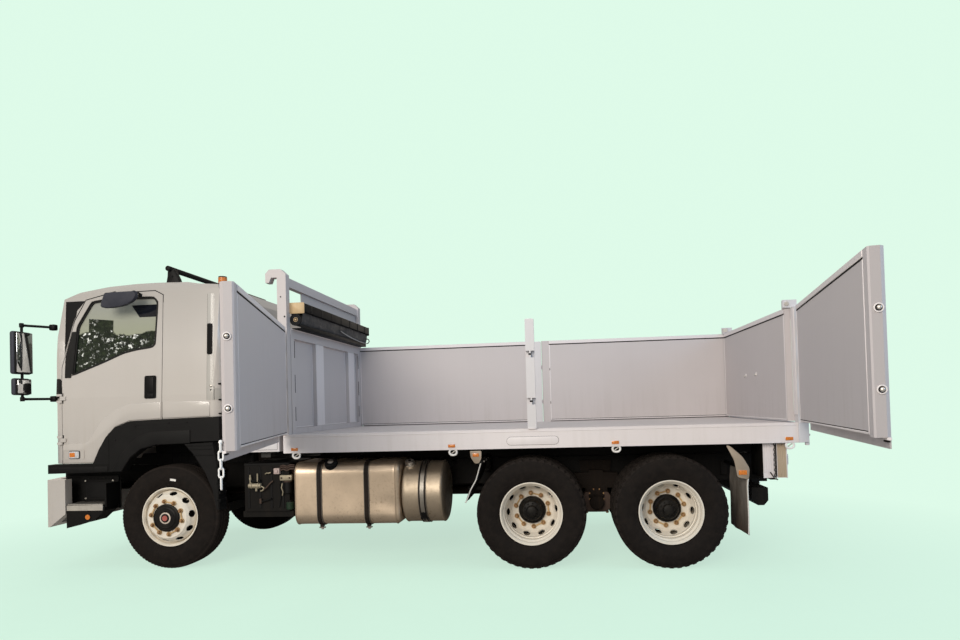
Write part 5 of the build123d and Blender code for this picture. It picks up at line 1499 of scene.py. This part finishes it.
# ---------------------------------------------------------------- rear fittings
lamp_tan = weathered("lamp_tan", (0.50, 0.40, 0.29), 0.5, (0.28, 0.2, 0.13), 0.6, low=0.8, high=1.2)
p = Piece("lamp_box_trim", "chassis", "body_paint", body_paint, lamp_tan, gap_dark, bright_bolt)
q = Piece("tail_lamps", "chassis", "lamp_red", red_lens, amber, clear_lens, gap_dark, black_plastic)
for side in (LEFT, RIGHT):
    p.side = q.side = side
    for i in range(5):
        x = 5836 + 19 * i
        p.box(x, x + 9, 1118, 1125, 868 - 6 * i, 1132, 0, 3)
    for x in range(5962, 6027, 16):
        p.box(x, x + 8, 1118, 1127, 828, 1134, 1, 3)
    p.box(5956, 6042, 1116, 1121, 822, 1138, 1, 2)
    p.box(5936, 5952, 1117, 1121, 830, 1130, 2, 1)
    p.box(6036, 6045, 756, 1124, 816, 1144, 0, 3)
    for k in range(3):
        y0 = 790 + 105 * k
        q.box(6040, 6054, y0, y0 + 96, 930, 1040, 4, 6)
        q.box(6046, 6066, y0 + 5, y0 + 91, 936, 1034, k, 9, rounds=3)
        q.box(6064, 6068, y0 + 8, y0 + 88, 984, 986, k, 1)
p.finish(40)
q.finish(40)

p = Piece("tail_chain", "chassis", "zinc_steel", plain_metal("dark_link", (0.07, 0.062, 0.055), 0.5, 0.5),
          bright_bolt, chassis_paint)
for side in (LEFT, RIGHT):
    for i in range(13):
        p.link((5933, side * 1133, 1130 - 23.5 * i), (0, 0, 1), (1, 0, 0) if i % 2 == 0 else (0, 1, 0), 34, 26, 4.0, 0)
    p.link((5926, side * 1133, 822), (0.5, 0, -0.85), (0.85, 0, 0.5), 36, 26, 4.0, 0)
    # dark plate on the lamp box's forward face
    p.box(5825, 5831, side * 758, side * 1118, 820, 1140, 2, 2)
    p.tube([(5890, side * 1121, 872), (5900, side * 1140, 850), (5922, side * 1141, 815), (5950, side * 1138, 806)],
           6, 0, 8)
p.finish(60)

p = Piece("tow_fittings", "chassis", "chassis_paint", chassis_paint, casting, bright_bolt)
for y in (-85, 85):
    for z0 in (650, 700, 740):
        p.bolt((6078, y, z0), (1, 0, 0), 22, 2)
p.lathe([(58, 0), (58, 10), (50, 14), (34, 14), (34, 0)], 1, 32, placed(6120, 0, 775), closed=True)
for y0 in (-300, 260):
    p.lathe([(26, 0), (26, 26), (20, 30), (0, 30)], 0, 24, placed(6040, y0, 850, 90))
for y0 in (-620, -420, 400, 600):
    p.bolt((6040, y0, 845), (1, 0, 0), 20, 2)
for y in range(-900, 781, 210):
    p.box(5897, 5904, y, y + 60, 590, 660, 0, 3)
p.finish(40)

# ---------------------------------------------------------------- under the tray
p = Piece("axle_fittings", "chassis", "chassis_paint", casting, chassis_paint, bright_bolt, rusty_bolt, black_plastic)
for side in (LEFT, RIGHT):
    for x in REAR_AXLES.values():
        # double brake chamber beside each axle
        place = placed(x - 230, side * 610, 590, 90)
        p.lathe([(0, -72), (50, -72), (72, -60), (78, -8), (86, -6), (86, 8), (78, 10), (70, 72), (48, 96), (0, 98)],
                1, 36, place)
        p.rod((x - 150, side * 610, 590), (x - 60, side * 600, 575), 14, 0, 14)
        for dy in (-46, 46):
            # U-bolts over the leaf pack's ends
            bow = [(-70, 470), (-70, 640), (-62, 668), (62, 668), (70, 640), (70, 470)]
            p.tube([(x + dx, side * 500 + dy, z) for dx, z in bow], 10, 0, 10)
    # trunnion cap between the axles
    place = about_y(4319, 560, 600, side)
    p.lathe([(92, 0), (92, 22), (84, 30), (60, 34), (60, 44), (0, 48)], 0, 8, place)
    for i in range(8):
        p.bolt(place @ placed(0, 0, 0, 45 * i + 22, "Z") @ Vector((76, 0, 30)), (0, side, 0), 16, 3, False)
    # pipes clipped along the rail
    for k, z in enumerate((1012, 1034, 1056)):
        p.tube([(1300, side * 436, z), (2600, side * 436, z + 2), (3300, side * 436, z), (4600, side * 436, z - 3),
                (5560, side * 436, z)], 6, 4, 8)
    for x in range(1380, 5341, 360):
        p.box(x, x + 26, side * 426, side * 446, 1000, 1068, 1, 3)
    # bolt rows on the rail web
    for x in range(1250, 5626, 175):
        for z in (838, 960):
            p.bolt((x, side * 425, z), (0, side, 0), 15, 1, False)
p.finish(40)

# ---------------------------------------------------------------- cab interior
s = Shader("seat_fabric", (0.03, 0.03, 0.034), 0.9)
s.set("Sheen Weight", 0.3)
s.set("Specular IOR Level", 0.2)
threads = s.times(s.math("SINE", s.times(s.axes()[1], 2600.0)), s.math("SINE", s.times(s.axes()[2], 2600.0)))
s.paint(s.mix(s.span(s.noise(9.0, 5.0), 0.35, 0.7), (0.022, 0.022, 0.026), (0.05, 0.05, 0.056)))
s.bump(threads, 0.35, 0.0006)
fabric = s.material
vinyl = moulded("seat_vinyl", (0.018, 0.018, 0.02), 0.5, (0.05, 0.05, 0.05), 0.2, 500.0)


def cushion(name, centre, size, crown, grooves=(), lean=0.0, roundness=5.0):
    """A padded block: crowned faces, sides that pull in between the corners, sewn channels along y."""
    steps = 22
    b = bmesh.new()
    bmesh.ops.create_cube(b, size=2.0)
    bmesh.ops.subdivide_edges(b, edges=b.edges[:], cuts=steps, use_grid_fill=True)
    half = Vector(size) / 2
    for vert in b.verts:
        u, v, w = vert.co
        n = (abs(u) ** roundness + abs(v) ** roundness + abs(w) ** roundness) ** (1 / roundness)
        u, v, w = u / n, v / n, w / n
        pull = 0.03
        x = u * half.x * (1 - pull * (1 - v * v) * abs(u))
        y = v * half.y * (1 - pull * (1 - u * u) * abs(v))
        z = w * half.z + (crown if w > 0 else -0.3 * crown) * (1 - u * u) * (1 - v * v) * abs(w)
        for at in grooves:
            z -= 9.0 * math.exp(-((v - at) / 0.035) ** 2) * max(0.0, w)
        z -= 7.0 * math.exp(-((abs(u) - 0.86) / 0.03) ** 2) * max(0.0, w) * (abs(v) < 0.9)
        vert.co = (x, y, z)
    p = Piece(name, "cab", "seat_fabric", fabric, vinyl)
    p.absorb(b, 0, placed(*centre, lean))
    for face in p.bm.faces:
        if abs(face.calc_center_median().y - centre[1]) > half.y * 0.80:
            face.material_index = 1
    made = p.finish(60)
    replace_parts(made, "cab_interior")


for tag, y, width in (("left", -600, 516), ("middle", 0, 416), ("right", 600, 516)):
    cushion(f"seat_base_{tag}", (-105, y, 1686), (500, width, 130), 16, (-0.55, 0.55))
    cushion(f"seat_back_{tag}", (206, y, 2030), (540, width, 104), 18, (-0.55, 0.0, 0.55), -76.0)
    cushion(f"seat_head_{tag}", (293, y, 2408), (180, 250, 84), 12, (), -82.0, 3.4)

p = Piece("cab_fittings", "cab", "black_plastic", interior_grey, black_plastic, gap_dark, ram_steel, vinyl)
dash = [(-1128, 1644), (-1128, 1800), (-1090, 1832), (-960, 1838), (-880, 1826), (-838, 1800), (-808, 1740),
        (-812, 1660), (-840, 1642)]
p.prism(dash, "y", -1046, 1046, 0, 7)
p.prism([(-1010, 1834), (-990, 1872), (-900, 1884), (-862, 1860), (-850, 1800)], "y", 420, 780, 0, 8)
p.box(-860, -846, 450, 750, 1796, 1862, 2, 6)
for y in (520, 680):
    p.lathe([(48, 0), (48, 5), (42, 7), (38, 3), (0, 3)], 1, 32, placed(-846, y, 1828, 90))
p.box(-826, -800, -170, 170, 1600, 1812, 0, 10, rounds=2)
p.box(-804, -797, -120, 120, 1716, 1796, 2, 4)
for i in range(4):
    p.lathe([(17, 0), (16, 14), (12, 17), (0, 17)], 1, 20, placed(-800, -96 + 64 * i, 1664, 90))
p.box(-824, -805, -720, -260, 1668, 1790, 0, 8)
p.box(-806, -801, -520, -460, 1770, 1782, 2, 2)
for y in (-960, -300, 300, 960):
    p.box(-832, -806, y - 62, y + 62, 1752, 1810, 1, 6)
    for k in range(5):
        p.box(-808, -803, y - 54, y + 54, 1758 + 10 * k, 1762 + 10 * k, 2, 0.8)
for p.side in (LEFT, RIGHT):
    p.box(-1128, -1002, 452, 898, 1140, 1656, 0, 10)
for tag, y, width in (("l", -600, 400), ("m", 0, 320), ("r", 600, 400)):
    p.box(-330, 130, y - width / 2, y + width / 2, 1576, 1626, 1, 8)
    p.box(120, 196, y - width / 2 + 20, y + width / 2 - 20, 1600, 1790, 1, 8)
    for dy in (-56, 56):
        p.rod((262, y + dy, 2270), (288, y + dy, 2350), 7, 3, 12)
wheel_at = placed(-620, 600, 1860, -30)
p.tube([wheel_at @ Vector((u, v, 0)) for u, v in around(40, 212)], 16, 4, 12, closed=True)
p.lathe([(0, -26), (60, -26), (78, -12), (80, 8), (70, 18), (0, 24)], 1, 36, wheel_at)
for a in (200, 340, 90):
    turn = wheel_at @ placed(0, 0, 0, a, "Z")
    p.box(66, 206, -20, 20, -8, 6, 1, 6, turn, 2)
p.rod((-640, 600, 1845), (-870, 600, 1700), 30, 1, 20, edge=4)
for y in (790, 410):
    p.rod((-690, 600, 1830), (-700, y, 1850), 7, 1, 10)
# sun visors
for p.side in (LEFT, RIGHT):
    p.box(-960, -940, 260, 900, 2560, 2700, 4, 8)
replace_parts(p.finish(40), "cab_interior")

# ---------------------------------------------------------------- behind and under the cab
p = Piece("arch_liners", "cab", "black_plastic", black_plastic, gap_dark)
for p.side in (LEFT, RIGHT):
    for i in range(12):
        x0, x1 = -600 + 96.5 * i, -600 + 96.5 * (i + 1)
        p.box(x0, x1 + 2, 434, 439 + 2 * (i % 2), 1004, 1498, 0, 2)
    p.box(-920, -600, 434, 440, 1005, 1130, 0, 2)
    for z in (1120, 1300, 1440):
        p.box(-598, 556, 439, 443, z, z + 12, 1, 2)
p.finish(40)

for side, label in SIDE_NAME.items():
    # dust cover behind the brake drum
    p = Piece("brake_cover_" + label, "knuckle_" + label, "cast_dark", gap_dark)
    p.lathe(rect(70, 250, -113, -108), 0, 48, wheel_face(0, FRONT_TYRE_Y + DISC_OFFSET, side), closed=True)
    p.finish(40)

# splash panels behind the steps, the arches and under the deck
p = Piece("splash_panels", "chassis", "black_plastic", black_plastic, gap_dark)
for p.side in (LEFT, RIGHT):
    p.box(-1268, -640, 979, 985, 600, 1000, 1, 1)
    for z in (700, 820, 930):
        p.box(-1262, -646, 985, 988, z, z + 10, 0, 1)
    p.box(-920, -604, 434, 440, 930, 1003, 1, 1)
p.box(930, 1230, -300, 300, 1034, 1050, 1, 2)
p.box(2950, 3130, -380, 380, 652, 690, 1, 3)
p.finish(40)

p = Piece("cab_hoses", "cab", "black_plastic", black_plastic, gap_dark, casting, bright_bolt)
for p.side in (LEFT, RIGHT):
    for k, (x, y, r) in enumerate(((548, 1150, 13), (574, 1128, 15), (560, 1098, 11), (585, 1075, 9))):
        p.tube([(x, y, 1902 - 9 * k), (x - 6, y - 8, 1820), (x + 7, y, 1730),
                (x + 4, y - 6, 1640), (x - 5, y + 3, 1560), (x, y - 12, 1470)], r, k % 2, 12)
    for z in (1860, 1700, 1560):
        p.box(532, 594, 1060, 1168, z - 8, z + 8, 1, 4)
    # latch bracket at the cab's rear corner
    p.box(470, 512, 1168, 1186, 1778, 1868, 2, 6, rounds=2)
    p.rod((491, 1184, 1842), (491, 1200, 1842), 12, 3, 20, edge=2)
    p.rod((491, 1184, 1800), (491, 1196, 1800), 9, 2, 20, edge=2)
    p.tube([(500, 1190, 1842), (520, 1186, 1816), (516, 1182, 1786), (498, 1188, 1772)], 5, 3, 10)
p.finish(50)

p = Piece("locker_trim", "chassis", "body_paint", post_paint, gap_dark, bright_bolt)
for p.side in (LEFT, RIGHT):
    door_line = rounded(rect(822, 1176, 1186, 1400), 12)
    on_side(p, grown(door_line, 2.5), 0.6, 1, door_line, 2.0, 0.0, RAIL_FACE)
    on_side(p, grown(door_line, -3), 3.0, 0, None, 5.0, 2.0, RAIL_FACE)
    for x in (880, 1110):
        p.box(x, x + 44, 1201, 1208, 1376, 1404, 2, 2)
    p.box(978, 1022, 1202, 1207, 1204, 1246, 1, 3)
    p.tube([(985, 1206, 1210), (985, 1216, 1216), (1015, 1216, 1234), (1015, 1206, 1240)], 4, 2, 8)
    p.box(792, 1204, 1196, 1204, 1412, 1422, 0, 3)
p.finish(40)

# ---------------------------------------------------------------- battery box, valves and pipes
pale_alloy = plain_metal("pale_alloy", (0.34, 0.30, 0.22), 0.5, 0.5, tint=(0.15, 0.125, 0.085))
pinkish = weathered("cast_pink", (0.46, 0.36, 0.34), 0.6, (0.2, 0.15, 0.12), 0.4, low=0.6, high=1.2)
brown_pipe = weathered("brown_pipe", (0.07, 0.045, 0.035), 0.55, (0.12, 0.08, 0.05), 0.5, low=0.4, high=1.2,
                       fade=0.2, gloss=0.2)
bottle_green = moulded("bottle_green", (0.012, 0.032, 0.018), 0.3, (0.05, 0.05, 0.04), 0.5)
p = Piece("chassis_valves", "chassis", "zinc_steel", pale_alloy, pinkish, brown_pipe, bottle_green, black_plastic,
          bright_bolt, gap_dark)
# ribs and lid of the battery box
p.box(764, 1246, -1083, -494, 1022, 1046, 4, 5)
for x in (800, 920, 1040, 1160):
    p.box(x, x + 26, -1085, -1078, 590, 1010, 4, 3)
# pale valve body with its pins and outlets
p.rod((826, -1108, 822), (958, -1108, 822), 25, 0, 28, edge=5)
for x in (850, 918):
    p.lathe([(20, 0), (31, 4), (31, 16), (20, 20)], 0, 28, placed(x, -1108, 822, 90))
p.rod((842, -1106, 835), (842, -1106, 932), 8, 0, 16, edge=2)
p.rod((842, -1106, 880), (842, -1106, 905), 12, 0, 6)
p.rod((918, -1106, 862), (918, -1106, 944), 8, 0, 16, edge=2)
p.box(838, 948, -1112, -1086, 858, 884, 6, 4)
p.rod((905, -1108, 800), (905, -1108, 766), 11, 0, 16, edge=2)
p.tube([(960, -1106, 815), (986, -1108, 800), (975, -1110, 776), (950, -1108, 768)], 8, 0, 10)
p.tube([(975, -1106, 780), (1010, -1110, 800), (1045, -1104, 840), (1078, -1100, 868)], 7, 2, 10)
p.tube([(998, -1100, 938), (1016, -1106, 948), (1036, -1106, 945), (1056, -1100, 952)], 7, 0, 10)
p.rod((940, -1098, 655), (1060, -1100, 690), 9, 6, 12)
p.rod((944, -1100, 640), (944, -1100, 690), 12, 2, 16, edge=2)
# pink cast block, brown pipes and the dark canister beside the tank
p.box(1093, 1153, -1120, -1064, 935, 995, 1, 7, rounds=2)
p.rod((1123, -1122, 966), (1123, -1130, 966), 18, 1, 24, edge=2)
for k, z in enumerate((978, 1000, 1018)):
    p.tube([(1155, -1096, z - 8), (1190, -1104, z + 6), (1225, -1094, z - 10), (1262, -1102, z + 8),
            (1304, -1094, z + 4)], 9 - k, 2, 10)
p.box(1152, 1278, -1112, -1050, 868, 924, 0, 8, rounds=2)
for x in (1172, 1256):
    p.bolt((x, -1112, 896), (0, -1, 0), 12, 2)
p.rod((1222, -1070, 738), (1222, -1070, 868), 40, 4, 32, edge=6)
p.rod((1222, -1070, 852), (1222, -1070, 862), 44, 2, 32, edge=2)
p.tube([(1180, -1112, 842), (1172, -1116, 800), (1186, -1112, 756), (1176, -1108, 720)], 6, 0, 10)
p.rod((1240, -1068, 574), (1240, -1068, 652), 38, 3, 32, edge=9)
p.rod((1240, -1068, 650), (1240, -1068, 668), 22, 4, 24, edge=3)
# brown beam over the tank's front end
p.box(1218, 1314, -1010, -990, 926, 964, 2, 4)
p.tube([(1160, -1090, 920), (1140, -1080, 800), (1150, -1086, 700), (1130, -1080, 600)], 8, 4, 10)
p.finish(40)

# ---------------------------------------------------------------- front axle, steering and springs
p = Piece("front_axle_fittings", "chassis", "chassis_paint", casting, chassis_paint, rusty_bolt, black_plastic,
          brown_pipe)
for p.side in (LEFT, RIGHT):
    # shock absorber behind the spring, spring clips
    p.rod((150, 520, 560), (210, 470, 960), 32, 1, 24, edge=4)
    p.rod((140, 524, 520), (160, 516, 600), 18, 0, 16)
    p.tube([(-120, 470, 1000), (-60, 500, 900), (40, 520, 800), (30, 600, 700)], 10, 3, 10)
p.finish(40)

# ---------------------------------------------------------------- suspension between the drive wheels
p = Piece("rear_suspension_fittings", "chassis", "chassis_paint", casting, brown_pipe, rusty_bolt, black_plastic)
for p.side in (LEFT, RIGHT):
    saddle = [(4160, 560), (4180, 470), (4230, 436), (4410, 436), (4458, 470), (4480, 560), (4440, 640), (4200, 640)]
    p.prism(rounded(saddle, 18), "y", 470, 590, 1, 5)
    for x in (4215, 4425):
        for y in (500, 560):
            p.rod((x, y, 430), (x, y, 700), 12, 0, 14)
            p.bolt((x, y, 436), (0, 0, -1), 24, 2)
    # torque rods fore and aft
    for x0, x1 in ((4270, 3810), (4370, 4830)):
        p.rod((x0, 520, 470), (x1, 520, 452), 24, 1, 20, edge=4)
        p.lathe([(40, -30), (44, -24), (44, 24), (40, 30)], 0, 28, about_y(x1, 520, 452, p.side))
p.finish(40)

# ---------------------------------------------------------------- camera, light, floor
camera_data = bpy.data.cameras.new("camera")
camera = bpy.data.objects.new("camera", camera_data)
bpy.context.scene.collection.objects.link(camera)
forward = Vector((-0.10495, 0.99426, 0.02095)).normalized()
right = Vector((0.99401, 0.10553, -0.02841)).normalized()
up = right.cross(forward)
camera.matrix_world = placed(1.5740, -6.3419, 1.5700) @ Matrix((right, up, -forward)).transposed().to_4x4()
camera_data.sensor_width = 36.0
camera_data.lens = 654.2 / 960 * 36.0
camera_data.shift_x = (480 - 490.6) / 960
camera_data.shift_y = (391.1 - 320) / 960
camera_data.clip_end = 200.0
bpy.context.scene.camera = camera

BACKDROP = (0.735, 0.96, 0.815)
s = Shader("floor_pale", (0.62, 0.78, 0.68), 0.85)
s.set("Specular IOR Level", 0.1)
seen = s.node("ShaderNodeLightPath").outputs["Is Camera Ray"]
mint = s.mix(s.span(s.noise(0.6), 0.4, 0.7), (0.56, 0.84, 0.68), (0.60, 0.90, 0.72))
s.paint(s.mix(seen, (0.50, 0.46, 0.41), mint))
fx, fy, _ = s.axes()
away = s.length(fx, fy)
glow = s.node("ShaderNodeEmission")
glow.inputs["Color"].default_value = (*BACKDROP, 1.0)
blend = s.node("ShaderNodeMixShader")
s.link(s.times(seen, s.span(away, 3.2, 7.5, 0.72, 1.0)), blend.inputs[0])
s.link(s.shader.outputs[0], blend.inputs[1])
s.link(glow.outputs[0], blend.inputs[2])
s.link(blend.outputs[0], s.tree.nodes["Material Output"].inputs["Surface"])
bpy.ops.mesh.primitive_plane_add(size=120.0, location=(0, 0, 0))
floor = bpy.context.object
floor.name = "floor"
floor.data.materials.append(s.material)

world = bpy.data.worlds.new("studio")
bpy.context.scene.world = world
world.use_nodes = True
tree = world.node_tree


def wired(kind, *sources, **values):
    """A world node with its first inputs linked and its named inputs set."""
    made = tree.nodes.new(kind)
    for source, socket in zip(sources, made.inputs):
        tree.links.new(source, socket)
    for name, value in values.items():
        made.inputs[name].default_value = value
    return made


# what lights the truck, what its glossy surfaces mirror and what the camera sees
background = tree.nodes["Background"]
background.inputs["Color"].default_value = (0.74, 0.88, 1.0, 1.0)
background.inputs["Strength"].default_value = 0.36
mirrored = wired("ShaderNodeBackground", Color=(0.86, 0.77, 0.66, 1.0), Strength=0.8)
shown = wired("ShaderNodeBackground", Color=(*BACKDROP, 1.0), Strength=1.0)
rays = wired("ShaderNodeLightPath").outputs
direct = wired("ShaderNodeMath", rays["Is Camera Ray"], rays["Is Transmission Ray"])
direct.operation = "MAXIMUM"
by_mirror = wired("ShaderNodeMixShader", rays["Is Glossy Ray"], background.outputs[0], mirrored.outputs[0])
mixer = wired("ShaderNodeMixShader", direct.outputs[0], by_mirror.outputs[0], shown.outputs[0])
tree.links.new(mixer.outputs[0], tree.nodes["World Output"].inputs["Surface"])


def soft_light(name, where, target, size, watts, color):
    data = bpy.data.lights.new(name, "AREA")
    data.shape = "RECTANGLE"
    data.size, data.size_y = size
    data.energy = watts
    data.color = color
    made = bpy.data.objects.new(name, data)
    bpy.context.scene.collection.objects.link(made)
    made.location = where
    made.rotation_mode = "QUATERNION"
    made.rotation_quaternion = (Vector(target) - Vector(where)).to_track_quat("-Z", "Y")


soft_light("key", (-3.2, -13.5, 6.5), (0, 0, 1.2), (9.0, 6.0), 1560.0, (1.0, 0.93, 0.83))
soft_light("top", (0.5, -1.0, 12.0), (0, 0, 0), (14.0, 8.0), 330.0, (1.0, 0.98, 0.95))
soft_light("sky", (12.0, -4.0, 5.5), (0, 0, 1.4), (6.0, 6.0), 300.0, (0.36, 0.66, 1.0))

bpy.context.scene.view_settings.view_transform = "Standard"
bpy.context.view_layer.update()
